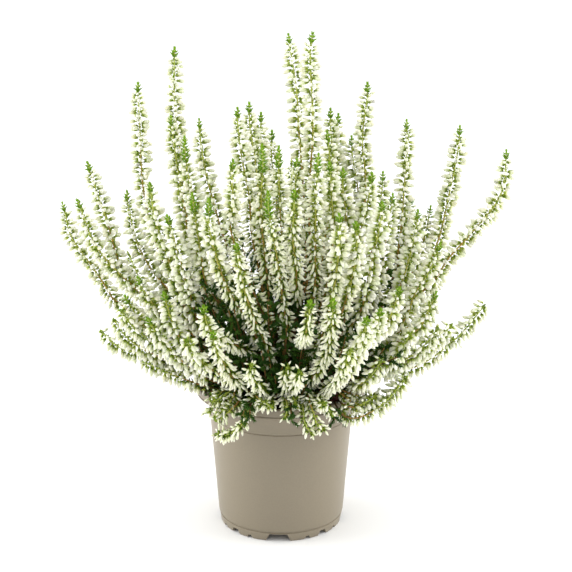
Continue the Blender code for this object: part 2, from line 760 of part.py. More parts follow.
def build_soil(feet, parts, cutters):
    """The soil that fills the pot, stacked in tapering layers, with a plain hole for each stem."""
    wall_heights = [height for _, height in reversed(INNER_WALL)]
    wall_radii = [radius for radius, _ in reversed(INNER_WALL)]
    top_radius = float(np.interp(SOIL_TOP, wall_heights, wall_radii))
    lower = [(radius - SOIL_GAP, height) for radius, height in INNER_WALL if FLOOR_TOP < height < SOIL_TOP]
    bottom = (INNER_WALL[-1][0] - SOIL_GAP, FLOOR_TOP + SOIL_GAP)
    layers = [(top_radius - SOIL_GAP, SOIL_TOP), *lower, bottom]
    bm = bmesh.new()
    rings = []
    for index, (radius, height) in enumerate(layers):
        capped = index in (0, len(layers) - 1)
        ring = bmesh.ops.create_circle(bm, cap_ends=capped, radius=radius, segments=POT_SIDES)["verts"]
        bmesh.ops.translate(bm, verts=ring, vec=(0, 0, height))
        rings.append({edge for vert in ring for edge in vert.link_edges})
    for above, below in zip(rings, rings[1:]):
        bmesh.ops.bridge_loops(bm, edges=list(above | below))
    bmesh.ops.recalc_face_normals(bm, faces=bm.faces)
    soil = new_object("soil", bm, parts)
    holes = bmesh.new()
    for foot in feet:
        bmesh.ops.create_cone(
            holes,
            cap_ends=True,
            segments=HOLE_SIDES,
            radius1=HOLE_RADIUS,
            radius2=HOLE_RADIUS,
            depth=2 * HOLE_DEPTH,
            matrix=Matrix.Translation((foot[0], foot[1], SOIL_TOP)),
        )
    cut(soil, hidden_cutter("stem_holes", holes, cutters))
    soil.data.materials.append(painted("soil_dark_bark", (0.025, 0.016, 0.011), 0.95))


def main():
    for old in list(bpy.data.objects):
        bpy.data.objects.remove(old)
    parts = bpy.data.collections.new("potted_heather")
    cutters = bpy.data.collections.new("cutters")
    bpy.context.scene.collection.children.link(parts)
    bpy.context.scene.collection.children.link(cutters)

    spikes = planned_spikes()
    settle(spikes)
    bud_room(spikes)
    feet = [spike["points"][0] for spike in spikes if spike["joint"] is None]
    build_pot(parts, cutters)
    build_soil(feet, parts, cutters)
    buds = painted("heather_white_buds", (0.74, 0.76, 0.62), 0.6)
    leaves = painted("heather_green_leaves", (0.07, 0.15, 0.03), 0.6)
    names = list(dict.fromkeys(spike["spray"] for spike in spikes))
    for name in names:
        members = [spike for spike in spikes if spike["spray"] == name]
        build_spray(name, members, parts, leaves if members[0]["leafy"] else buds)


if __name__ == "__main__":
    main()
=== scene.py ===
"""Looks of the white bud heather in its plastic pot.

The courses of the flowering spikes are worked out as the part's own source does, so every
fine spray lies where its solid is. Metres, +Z up, origin at the middle of the pot's underside.
"""

import math
import random

import bmesh
import bpy
import numpy as np
from mathutils import Euler, Matrix, Vector


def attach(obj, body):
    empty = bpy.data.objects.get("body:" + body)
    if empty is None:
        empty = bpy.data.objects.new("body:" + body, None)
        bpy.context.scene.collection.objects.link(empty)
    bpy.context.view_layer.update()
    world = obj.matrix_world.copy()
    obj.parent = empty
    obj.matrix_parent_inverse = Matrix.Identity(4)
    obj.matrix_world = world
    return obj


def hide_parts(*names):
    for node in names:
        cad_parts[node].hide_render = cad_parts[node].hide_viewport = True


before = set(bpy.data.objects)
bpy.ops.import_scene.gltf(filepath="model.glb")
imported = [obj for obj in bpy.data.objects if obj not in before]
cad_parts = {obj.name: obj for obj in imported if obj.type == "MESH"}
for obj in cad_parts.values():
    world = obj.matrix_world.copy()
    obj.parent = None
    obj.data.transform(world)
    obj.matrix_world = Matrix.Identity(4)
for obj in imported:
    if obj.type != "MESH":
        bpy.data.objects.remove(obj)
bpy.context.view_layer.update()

MM = 0.001

# Pot: sizes, and the outline that the plant's courses keep clear of
RIM_RADIUS = 60.0 * MM
RIM_HEIGHT = 104.0 * MM
NECK_RADIUS = 49.7 * MM
GROOVE_HEIGHT = 81.4 * MM
FOOT_RADIUS = 42.4 * MM
FOOT_TURN = math.radians(-92.5)
WALL = 1.6 * MM
FLOOR_TOP = 9.0 * MM
FLOOR_UNDER = 6.2 * MM
FOOT_WALL = 2.8 * MM
LIP_RADIUS = 0.9 * MM
DRAIN_REACH = 24 * MM
DRAIN_RADIUS = 4.5 * MM
DRAIN_DEPTH = 8 * MM
POT_STEPS = 144
GUARD_PLACES = ((51.5, 88), (59.2, 102), (50.5, 86), (49.5, 80), (43.5, 4))
POT_GUARD = [np.array(place) * MM for place in GUARD_PLACES]

# Pot: the steps of its outside, out and up in millimetres, from the rim, the groove and the foot
COLLAR_STEPS = (
    (-0.2, -4.7), (-0.5, -5.0), (-1.5, -5.2), (-1.6, -6.2), (-1.0, -6.4), (-1.1, -7.2), (-2.7, -7.4),
    (-3.9, -8.0), (-5.2, -8.8), (-6.8, -10.6), (-8.0, -12.8), (-8.9, -15.2), (-9.6, -17.8),
)
GROOVE_STEPS = (
    (0.3, 2.0), (0.1, 1.1), (-0.45, 0.75), (-0.6, 0.3), (-0.55, -0.2), (-0.15, -0.55), (-0.1, -1.2),
)
FOOT_STEPS = (
    (1.45, 8.0), (1.3, 7.5), (0.4, 7.2), (0.2, 6.6), (0.3, 6.1), (0.85, 5.8), (0.8, 5.2), (0.1, 0.5),
    (-0.3, 0),
)

# Notches in a quarter of the foot: the turn in degrees, then widths below and above and the height
NOTCHES = ((0, 18.5, 12, 5.4), (45, 9, 4.5, 3.6), (-28, 6, 2, 2.3), (28, 6, 2, 2.3))

# The room that the pot's wall takes: heights, and the radii outside and inside, in millimetres
WALL_HEIGHTS = (0, 81, 88, 96, 98, 104)
WALL_OUTER = (43, 50.2, 51.5, 57, 60.3, 60.3)
WALL_INNER = (38, 46, 48.5, 52, 54.5, 57.5)

# Soil
SOIL_TOP = 94.0 * MM
SOIL_RADIUS = 51.0 * MM
SOIL_GAP = 0.3 * MM
HOLE_DEPTH = 12.0 * MM
SCATTER_RADIUS = SOIL_RADIUS - 1.5 * MM

# Lumps on the soil: how many are spread over it and how many lie in the heap by the rim, how high
# they lie, for chips as a range in millimetres, and the heap's place, reach and rise
BARK_CHIPS = (1300, 360)
PERLITE_GRAINS = (90, 14)
BARK_LIFTS = (0, 1.6)
PERLITE_LIFT = 1.8 * MM
HEAP = (38 * MM, -20 * MM)
HEAP_REACH = 14 * MM
HEAP_RISE = 6 * MM

# Plant: the courses
SEED = 31
STEM_RADIUS = 1.25 * MM
SPIKE_RADIUS = 5.9 * MM
LEAF_RADIUS = 3.4 * MM
STEP = 6.0 * MM
BASE_REACH = 38.0 * MM
BACK_SPRAYS = 12
NODE_GAP = 0.35 * MM
EASING = 0.3

# Plant: steps along the fine courses, and their stems: radii at the foot and the tip, and how far
# below the end of the course they stop
FINE_STEP = 1.5 * MM
STEM_ROW = 5 * MM
MAIN_STEM = 1.1 * MM
BRANCH_STEM = 0.7 * MM
STEM_TIP = 0.42 * MM
STEM_STOP = 2 * MM
SHOOT_STEM = 0.8 * MM
SHOOT_TIP = 0.35 * MM
SHOOT_STOP = 1 * MM

# Plant: flowers. Their length, its share when young and its loss in the middle of the plant; the angle
# in degrees at which a young one rises, what it loses with age, and its spread; and the bend of
# those that don't stand straight
FLOWER_LENGTH = 7.7 * MM
YOUNG_LENGTH = 0.62
INNER_LOSS = 0.17
YOUNG_RISE = 24
RISE_LOSS = 22
RISE_SPREAD = 16
NOD = math.radians(18)

# Plant: the steps between pairs of flowers, their spread in millimetres, and the turn to the next
PAIR_YOUNG = 1.25 * MM
PAIR_GROWN = 1.45 * MM
PAIR_LOW = 2.1 * MM
PAIR_LOW_OUTER = 1.65 * MM
PAIR_AWAY = 1.8 * MM
PAIR_SPREAD = 0.9
PAIR_TURN = math.pi / 2 + 0.04

# Plant: how far out, across and up, the middle of the plant reaches, and how far out that fades.
# Painted light: flowers in the shady middle are painted brighter, those on the outer spikes darker
INNER_REACH = (54 * MM, 160 * MM)
INNER_EDGE = 1.25
INNER_FADE = 0.6

# Plant: where a flower, a leaf and a bract start, out from the middle of what bears them, and the
# length of a bract, in millimetres, with the share of a flower's length at which its bracts sit
FLOWER_OUT = 0.5
LEAF_OUT = 0.3
BRACT_OUT = 0.2
BRACT_LENGTHS = (2.0, 2.8)
BRACT_SHARE = 0.18

# The shady heart of the bush, as half widths and a middle. No flower opens deep in it, and they
# become fewer towards it over the blur.
HEART = (78 * MM, 64 * MM, 102 * MM)
HEART_MIDDLE = (0, 12 * MM, 95 * MM)
HEART_BLUR = 0.25

# How a spike with a low tip grows, and how the others do. youth: how fresh its stem looks; neck:
# the stretch below its leafy tip without flowers; lead and ripening: how soon the flowers are full
# grown on the way down; shade: the share of the heart that has no flowers; hang: how far they
# hang; leaf_step and leaf_age: how close and how pale the leaves among them are.
LOW_HEIGHT = 170 * MM
LOW_HABIT = {
    "youth": 1.35,
    "neck": 0.5 * MM,
    "lead": 3 * MM,
    "ripening": 9 * MM,
    "shade": 0.6,
    "hang": 0.3,
    "leaf_step": 1.9 * MM,
    "leaf_age": 0.7,
}
HIGH_HABIT = {
    "youth": 1.0,
    "neck": 4 * MM,
    "lead": 0,
    "ripening": 14 * MM,
    "shade": 0.85,
    "hang": 0.05,
    "leaf_step": 2.2 * MM,
    "leaf_age": 0.74,
}
TRAILER_HANG = 0.8
TRAILER_START = 0.12

# Leaves on a spike: between the flowers, at its neck and in the shade; below the last, bare stem
SPIKE_LEAF = 2.4 * MM
NECK_LEAF = 1.7 * MM
NECK_STEP = 1 * MM
SHADY_LEAF = 3.2 * MM
SHADY_STEP = 2.4 * MM
BARE_FOOT = 14 * MM
BARE_BRANCH = 2 * MM

# The leafy tips of the spikes, the long ones by spray and order in it, in millimetres
TUFT_STEP = 1.8 * MM
TUFT_DROP = 3 * MM
TIP_LEAF = 2.8 * MM
TUFT = 5.0 * MM
SMALL_TUFT = 3.0 * MM
LONG_TUFTS = {
    ("left_top", 1): 16,
    ("crown_green", 0): 18,
    ("crown_green", 1): 13,
    ("front_right_long", 0): 11,
    ("front_mid_long", 0): 18,
    ("left_crown", 1): 12,
    ("front_left_long", 0): 12,
    ("front_right_low", 0): 8,
}

# Side twigs of the leafy shoots: where they begin and the steps between them, with lengths in
# millimetres of them and of their leaves, and turns from one twig, leaf and whorl to the next
TWIG_FOOT = 16 * MM
TWIG_BRANCH = 4 * MM
TWIG_LENGTHS = (6, 11)
TWIG_STEP = 4.4 * MM
TRAILER_TWIG_LENGTHS = (4, 6.5)
TRAILER_TWIG_STEP = 2.3 * MM
WHORL_STEP = 1.5 * MM
WHORL_LEAVES = (2.4, 3.2)
TWIG_TURN = 2.4
WHORL_PART = 2.094
WHORL_TURN = 1.05

# Undergrowth: how many shoots, how far out they stand and reach, and their heights in millimetres
UNDERGROWTH = 118
UNDERGROWTH_FOOT = 45 * MM
UNDERGROWTH_REACH = 74 * MM
UNDERGROWTH_HEIGHTS = (34, 100)
RIM_CLEAR = 6 * MM

# Short sprays over the rim, from the tip inwards: places in the picture, each with its depth.
TRAILERS = [
    [(204, 414, -44), (214, 407, -50), (226, 398, -48), (238, 388, -32)],
    [(208, 402, -42), (219, 394, -44), (230, 386, -34)],
    [(214, 423, -54), (224, 416, -58), (234, 407, -58), (243, 396, -44)],
    [(213, 433, -58), (225, 435, -63), (237, 430, -67), (245, 418, -67), (249, 402, -56)],
    [(262, 410, -74), (256, 402, -68), (252, 391, -50)],
    [(278, 410, -76), (268, 405, -76), (258, 398, -68), (252, 389, -50)],
    [(284, 422, -76), (287, 412, -77), (287, 402, -68), (284, 392, -48)],
    [(327, 431, -68), (318, 426, -74), (313, 412, -76), (309, 400, -66), (306, 390, -48)],
    [(334, 418, -68), (328, 409, -73), (320, 401, -68), (315, 391, -50)],
    [(296, 411, -78), (295, 402, -74), (293, 394, -56)],
    [
        (405, 378, -36), (396, 391, -42), (386, 401, -46), (373, 411, -51),
        (361, 417, -56), (350, 419, -59), (340, 412, -58), (334, 401, -49),
    ],
    [(379, 394, -44), (368, 401, -50), (357, 407, -54), (347, 407, -56), (338, 400, -48)],
    [
        (140, 360, -14), (153, 366, -16), (168, 373, -18),
        (184, 379, -22), (204, 386, -26), (222, 390, -30),
    ],
]
# Two more upright spikes among those on the right, in the same form
RIGHT_FILLERS = [
    [(431, 204, 30), (428, 222, 26), (423, 242, 20), (416, 262, 10), (406, 288, 0), (392, 312, -6)],
    [(411, 194, 44), (410, 215, 40), (406, 240, 32), (399, 262, 22), (390, 290, 8)],
]
# Leafy shoots over the rim, in the same form
LEAFY_TRAILERS = [
    [(250, 419, -74), (250, 409, -74), (252, 398, -62)],
    [(241, 417, -72), (246, 408, -71), (251, 398, -60)],
    [(291, 421, -80), (291, 411, -79), (291, 400, -68)],
    [(346, 421, -54), (341, 414, -57), (335, 404, -50)],
    [(335, 421, -64), (333, 413, -64), (329, 402, -54)],
]

# The photograph's view, in millimetres, radians and pixels
VIEW_DISTANCE = 1200.0
VIEW_HEIGHT = 557.2
VIEW_PITCH = math.radians(17.82)
VIEW_FOCUS = 1843.4
PICTURE_SIZE = 572.0
PICTURE_MIDDLE = (281.0, 286.0)
SOIL_LINE = 400.0

# Studio
SENSOR_WIDTH = 36
SOFTBOX_SIZE = 1.2
FLOOR_SIZE = 12
FLOOR_DROP = 0.2 * MM

# Courses of the flowering spikes in the picture. A spray is a list of spikes, the
# first of which stands in the soil while the others branch from it. A spike is the
# depth of its tip behind the pot's middle, in millimetres, and its course from the tip
# down, in picture pixels. A third number on a point is that point's own depth.
SPRAYS = {
    "left_low": [
        (22, [(61.7, 200.5), (66, 217), (70, 235), (85, 257), (100, 278), (110, 293), (124, 307)]),
        (-35, [(137, 275), (142, 286), (152, 300)]),
    ],
    "left_mid": [
        (-18, [(76.3, 198), (83, 215), (90, 235), (100, 253), (119, 275), (140, 297), (160, 313)]),
        (-6, [(86.7, 160.5), (96, 190), (106, 218), (112, 240), (119, 266), (128, 284)]),
    ],
    "left_inner": [
        (12, [(126.7, 189), (128, 205), (131, 220), (137, 243), (147, 262), (160, 280)]),
        (50, [(138, 81), (138, 100), (140, 130), (142, 178), (147, 210), (155, 240), (166, 266)]),
    ],
    "left_front": [
        (-55, [(149.5, 181), (154, 215), (165, 250), (178, 288), (186, 315), (197, 342)]),
        (-64, [(166.8, 214), (172, 232), (180, 256), (186, 276)]),
    ],
    "left_top": [
        (30, [(170.5, 114), (172, 130), (175, 150), (178, 170), (186, 215), (194, 250)]),
        (-14, [(184.5, 135), (185, 150), (187, 170), (193, 195), (198, 220)]),
    ],
    "left_tall": [
        (45, [(174.5, 46), (174, 90), (176, 125), (180, 152), (183, 195), (190, 232)]),
    ],
    "left_crown": [
        (20, [(199, 117), (201, 145), (206, 175), (213, 200), (221, 230), (230, 256)]),
        (-62, [(191.8, 192), (195, 220), (200, 255), (208, 290)]),
    ],
    "front_left_long": [
        (-88, [(208.7, 197), (210, 230), (221, 270), (232, 293), (247, 318), (256, 340)]),
        (-104, [(203, 305), (206, 318), (214, 334)]),
    ],
    "low_left_long": [
        (-10, [(98, 328), (115, 345), (133.5, 353.5), (167, 367), (194, 377.6), (222, 386)]),
        (-22, [(112, 316), (122, 332), (136, 346)]),
    ],
    "low_left_inner": [
        (-38, [(119, 307), (130, 324), (146, 338), (164, 350)]),
        (-28, [(124, 294), (133, 308), (146, 324)]),
    ],
    "low_left_front": [
        (-66, [(146, 316), (155, 330), (170, 346), (188, 362)]),
        (-70, [(163, 291), (169, 310), (180, 334)]),
    ],
    "rim_left": [
        (-40, [(207, 396, -40), (218, 394, -38), (230, 391, -33)]),
        (-54, [(209, 410, -52), (221, 408, -50), (234, 402, -40)]),
        (-60, [(212, 420, -58), (224, 417, -58), (236, 409, -50)]),
    ],
    "droop_left": [
        (
            -54,
            [(214, 435.6, -54), (230, 435.5, -63), (243.5, 427.7, -70), (251, 410, -64), (256, 397, -44)],
        ),
    ],
    "front_left_low": [
        (-116, [(213, 331), (215, 346), (224, 364), (238, 384)]),
        (-100, [(186, 338), (192, 350), (206, 366)]),
    ],
    "front_mid_low": [
        (-108, [(252, 363), (250, 376), (259, 388), (266, 396)]),
        (-66, [(251, 404, -68), (261, 405, -67), (270, 403, -60)]),
    ],
    "front_left_inner": [
        (-98, [(236, 242), (240, 270), (246, 297), (256, 326), (266, 350)]),
        (-60, [(233, 158), (232, 180), (233, 208), (231, 236)]),
    ],
    "crown_left": [
        (-5, [(237.5, 106), (238, 130), (243, 165), (249, 195), (252, 236), (262, 288)]),
        (60, [(272, 129), (271, 148), (272, 172), (274, 205)]),
    ],
    "crown_inner_left": [
        (25, [(249, 101), (250, 130), (254, 150), (258, 185), (262, 225)]),
        (50, [(261, 111), (261, 135), (262, 165), (264, 200)]),
    ],
    "crown_green": [
        (-44, [(262, 143), (263, 170), (261, 195), (262, 230), (266, 265)]),
        (-34, [(279, 145), (279, 180), (281, 215), (284, 250), (286, 285)]),
    ],
    "front_mid_long": [
        (-92, [(268, 190), (269, 215), (276, 250), (281, 280), (287, 308), (293, 336)]),
    ],
    "top_left": [
        (36, [(288, 32), (292, 60), (297, 95), (299, 135), (302, 170), (305, 230), (304, 285)]),
        (-24, [(297, 157), (296, 180), (297, 210), (300, 240)]),
    ],
    "top_right": [
        (-6, [(313, 31), (310, 60), (313, 120), (310, 175), (307, 225), (305, 270)]),
        (-80, [(294, 189), (294, 210), (293, 240), (297, 270)]),
    ],
    "front_right_long": [
        (-54, [(319, 152), (318, 200), (317, 240), (315, 285), (309, 325)]),
        (-118, [(311, 300), (309, 316), (306, 336)]),
    ],
    "crown_right": [
        (-12, [(327, 130), (329, 150), (330, 180), (328, 215)]),
        (45, [(330.5, 107), (331, 135), (336, 166), (342, 190), (338, 225)]),
    ],
    "crown_right_back": [
        (60, [(338.5, 112), (337, 140), (338, 175), (334, 215)]),
        (50, [(351.5, 134), (353, 160), (358, 186), (354, 220)]),
    ],
    "front_right_inner": [
        (-50, [(327, 162), (329, 195), (331, 225), (329, 260), (322, 295)]),
        (-34, [(343, 167), (343, 190), (346, 215), (342, 245)]),
    ],
    "front_right_mid": [
        (-98, [(339, 212), (341, 240), (338, 272), (332, 300), (322, 330)]),
    ],
    "front_right_low": [
        (-124, [(333, 298), (332, 325), (328, 356), (316, 380), (306, 394)]),
    ],
    "front_low_right": [
        (-124, [(367, 317), (364, 336), (356, 356), (340, 376)]),
        (-118, [(352, 348), (345, 362), (333, 380)]),
    ],
    "front_centre_low": [
        (-112, [(300, 371), (299, 384), (298, 395)]),
        (-96, [(288, 366), (287, 380), (288, 392)]),
    ],
    "droop_right": [
        (-72, [(317, 435, -70), (308, 432, -74), (302, 421, -75), (299, 407, -64), (299, 398, -44)]),
        (-86, [(326, 402, -86), (322, 404, -78), (314, 401, -66)]),
    ],
    "right_back_tall": [
        (45, [(367.5, 81), (367, 100), (364, 120), (362, 145), (365, 180), (358, 225)]),
        (60, [(383, 170), (382, 190), (378, 220), (370, 255)]),
    ],
    "right_front_inner": [
        (-72, [(382, 200), (381, 222), (373, 255), (366, 290), (354, 325)]),
        (-44, [(372, 171), (369, 195), (363, 222), (356, 250)]),
    ],
    "right_front_mid": [
        (-92, [(354, 221), (355, 250), (352, 272), (345, 298), (334, 326)]),
        (-106, [(381, 308), (377, 322), (364, 344)]),
    ],
    "right_tall": [
        (30, [(406.5, 118), (407, 150), (404, 190), (400, 240), (393, 278), (380, 310)]),
        (-22, [(393, 192), (390, 215), (386, 240), (382, 266)]),
    ],
    "right_mid": [
        (-38, [(418, 208), (417, 225), (411, 252), (402, 282), (388, 312)]),
        (-92, [(400, 286), (396, 302), (384, 326)]),
    ],
    "right_front": [
        (-48, [(441, 241), (430, 270), (416, 291), (404, 320), (386, 345)]),
        (-58, [(437, 290), (428, 312), (413, 334)]),
    ],
    "right_outer": [
        (25, [(460, 124), (458, 150), (450, 190), (440, 235), (428, 265), (408, 298)]),
    ],
    "right_far": [
        (-8, [(506.5, 148), (504, 185), (495, 205), (470, 235), (447, 260), (424, 290)]),
    ],
    "right_low_far": [
        (-10, [(487, 302), (465, 330), (445, 349), (422, 366), (399, 375)]),
        (-32, [(453.5, 321.8), (441, 338), (424, 354)]),
    ],
    "right_low": [
        (-62, [(412, 331), (403, 345), (386, 362)]),
        (-36, [(440.5, 325), (428, 340), (410, 355)]),
        (-58, [(385, 353, -58), (374, 367, -56), (360, 378, -48)]),
    ],
    "rim_right_long": [
        (
            -28,
            [
                (409, 371, -28), (394, 391, -33), (373, 404, -39),
                (354, 402, -45), (340, 391, -42), (330, 386, -32),
            ],
        ),
        (-34, [(381, 390, -36), (366, 398, -40)]),
    ],
}

# Low leafy shoots without flowers, in the same form: they fill the shade between the sprays.
LEAFY_SHOOTS = {
    "leafy_left": [
        (-46, [(196, 350), (206, 368)]),
        (-58, [(222, 358)]),
        (-30, [(178, 345)]),
    ],
    "leafy_front": [
        (-64, [(266, 344), (270, 366)]),
        (-72, [(283, 368)]),
        (-44, [(250, 330)]),
    ],
    "leafy_front_right": [
        (-80, [(347, 336), (338, 360)]),
        (-66, [(320, 350)]),
        (-46, [(352, 316)]),
    ],
    "leafy_right": [
        (-58, [(385, 350), (370, 370)]),
        (-40, [(366, 342)]),
        (-66, [(400, 356)]),
    ],
}


def pixel_place(u, v, depth):
    """The point that the picture shows at (u, v), depth millimetres behind the pot's middle."""
    across = (u - PICTURE_MIDDLE[0]) / VIEW_FOCUS
    rise = (PICTURE_MIDDLE[1] - v) / VIEW_FOCUS
    sine = math.sin(VIEW_PITCH)
    cosine = math.cos(VIEW_PITCH)
    reach = (depth + VIEW_DISTANCE) / (cosine + rise * sine)
    height = VIEW_HEIGHT + reach * (rise * cosine - sine)
    return np.array([reach * across, depth, height]) * MM


def spline(controls, step):
    """Points about one step apart on a smooth curve through the control points."""
    controls = np.asarray(controls, float)
    padded = np.vstack([2 * controls[0] - controls[1], controls, 2 * controls[-1] - controls[-2]])
    points = []
    for before, start, end, after in zip(padded, padded[1:], padded[2:], padded[3:]):
        t = np.linspace(0, 1, 12, endpoint=False)[:, None]
        points.append(
            start
            + 0.5 * t * (end - before)
            + t**2 * (before - 2.5 * start + 2 * end - 0.5 * after)
            + t**3 * 0.5 * (after - before + 3 * (start - end))
        )
    return resample(np.vstack(points + [controls[-1:]]), step)


def resample(points, step):
    """The same course with its points evenly spaced, about one step apart."""
    lengths = np.linalg.norm(np.diff(points, axis=0), axis=1)
    along = np.concatenate([[0], np.cumsum(lengths)])
    count = max(4, round(along[-1] / step))
    wanted = np.linspace(0, along[-1], count + 1)
    return np.stack([np.interp(wanted, along, points[:, axis]) for axis in range(3)], axis=1)


def visible_course(depth, pixels, foot_depth):
    """The seen part of a spike, from below up, its depth easing from the foot's to the tip's."""
    tip_v = pixels[0][1]
    points = []
    for pixel in reversed(pixels):
        if len(pixel) == 3:
            points.append(pixel_place(*pixel))
            continue
        height = (SOIL_LINE - pixel[1]) / (SOIL_LINE - tip_v)
        points.append(pixel_place(*pixel, foot_depth + (depth - foot_depth) * max(height, 0) ** 0.6))
    return points


def foot_place(tip, low=None):
    """Where a spray leaves the soil: towards its lowest seen place, further out the more it leans."""
    lean = math.atan2(math.hypot(*tip[:2]), max(tip[2] - SOIL_TOP - 20 * MM, 0)) / math.radians(90)
    aim = np.array((tip if low is None else low)[:2])
    return aim / max(math.hypot(*aim), 1e-6) * BASE_REACH * min(lean, 0.84)


def back_sprays(rng):
    """Courses of the sprays on the side away from the picture, as lists of control points."""
    sprays = {}
    for index in range(BACK_SPRAYS):
        inner = index % 2 == 1
        turn = math.radians(8 + 164 * (index + 0.5) / BACK_SPRAYS + rng.uniform(-4, 4))
        reach = (rng.uniform(58, 92) if inner else rng.uniform(112, 130)) * MM
        top = (180 + 48 * math.sin(turn) ** 6 + (12 if inner else 0) + rng.uniform(-6, 6)) * MM
        spikes = []
        for side in range(3):
            if side:
                turn += math.radians((-13, 27)[side - 1])
                reach *= rng.uniform(0.82, 0.98)
                top -= rng.uniform(12, 34) * MM
            tip = np.array([reach * math.cos(turn), reach * math.sin(turn), top])
            foot = np.append(foot_place(tip), SOIL_TOP)
            low = foot + (tip - foot) * (0.42, 0.42, 0.2)
            mid = foot + (tip - foot) * (0.78, 0.78, 0.55)
            spikes.append([mid, tip] if side else [low, mid, tip])
        sprays[f"back_{index + 1:02d}"] = spikes
    return sprays


def planned_spikes():
    """Every spike as a dict: its spray, its points from below up and whether it branches off."""
    spikes = []
    for name, members in [*SPRAYS.items(), *LEAFY_SHOOTS.items()]:
        for order, (depth, pixels) in enumerate(members):
            tip = pixel_place(pixels[0][0], pixels[0][1], depth)
            low = pixel_place(*pixels[-1]) if len(pixels[-1]) == 3 else None
            foot = foot_place(tip, low)
            controls = visible_course(depth, pixels, foot[1] / MM)
            spikes.append(rooted_spike(name, order, controls, foot, spikes))
    for name, members in back_sprays(random.Random(SEED)).items():
        for order, controls in enumerate(members):
            spikes.append(rooted_spike(name, order, controls, foot_place(controls[-1]), spikes))
    return spikes


def rooted_spike(name, order, controls, foot, spikes):
    """A spike with its hidden lower end: in the soil for a spray's first, on its stem for the rest."""
    if order == 0:
        return new_spike(name, [np.array([*foot, SOIL_TOP + 1 * MM])] + controls, None)
    main = next(index for index, spike in enumerate(spikes) if spike["spray"] == name)
    stem = spikes[main]["points"]
    below = np.linalg.norm(stem - controls[0], axis=1).argmin()
    joint = int(min(max(below * 0.55, 3), len(stem) * 0.5)) + order - 1
    spikes[main]["joints"].append(joint)
    return new_spike(name, [stem[joint]] + controls, (main, joint))


def new_spike(name, controls, joint):
    """A spike on a smooth course, with two more points down its hole where it stands in the soil."""
    leafy = name in LEAFY_SHOOTS
    widest = LEAF_RADIUS if leafy else SPIKE_RADIUS
    points = spline(controls, STEP)
    if joint is None:
        bottom = SOIL_TOP - HOLE_DEPTH + SOIL_GAP
        standing = [(*points[0][:2], bottom + share * (points[0][2] - bottom)) for share in (0, 0.5)]
        points = np.vstack([standing, points])
    return {
        "spray": name,
        "points": points,
        "joint": joint,
        "joints": [],
        "leafy": leafy,
        "widest": widest,
    }


def flower_start(spike):
    """How far along a spike, as a fraction, its buds begin."""
    length = len(spike["points"]) * STEP
    if spike["leafy"]:
        return min(0.35, 15 * MM / length)
    if spike["joint"]:
        return min(0.3, 14 * MM / length)
    return min(0.42, 52 * MM / length)


def reach_along(spike):
    """The room that a spike wants at each of its points: a bare stem below, buds above, a slim tip."""
    share = np.linspace(0, 1, len(spike["points"]))
    reach = np.where(share < flower_start(spike), 1.7 * STEM_RADIUS, spike["widest"])
    reach[-2:] = 3.2 * MM
    return reach


def pot_push(points, reach, least=0):
    """How far each point has to move to keep its reach, or the least one, clear of the pot and soil."""
    flat = np.maximum(np.hypot(points[:, 0], points[:, 1]), 1e-6)
    outward = np.stack([points[:, 0] / flat, points[:, 1] / flat], axis=1)
    place = np.stack([flat, points[:, 2]], axis=1)
    need = np.maximum(reach, least)
    push = np.zeros_like(points)
    for start, end in zip(POT_GUARD, POT_GUARD[1:]):
        run = end - start
        share = np.clip((place - start) @ run / (run @ run), 0, 1)
        away = place - (start + share[:, None] * run)
        gap = np.maximum(np.linalg.norm(away, axis=1), 1e-6)
        short = np.maximum(need + 1.4 * MM - gap, 0) / gap
        push[:, :2] += outward * (away[:, 0] * short)[:, None]
        push[:, 2] += away[:, 1] * short
    over_soil = (flat < POT_GUARD[0][0]) & (reach > 3 * MM)
    push[:, 2] += np.where(over_soil, np.maximum(SOIL_TOP + reach + 1 * MM - points[:, 2], 0), 0)
    over_rim = (np.abs(flat - RIM_RADIUS + 4 * MM) < 7.5 * MM) & (points[:, 2] > GROOVE_HEIGHT)
    push[:, 2] += np.where(over_rim, np.maximum(RIM_HEIGHT + 0.9 * need + 1 * MM - points[:, 2], 0), 0)
    return push


def close_pairs(points, group, limit):
    """The pairs of points of different sprays that lie within the limit of each other."""
    near = []
    for index in range(len(points) - 1):
        gap = np.abs(points[index + 1 :] - points[index]).max(axis=1)
        others = np.nonzero((gap < limit) & (group[index + 1 :] != group[index]))[0] + index + 1
        near.append(np.stack([np.full(len(others), index), others], axis=1))
    return np.vstack(near)


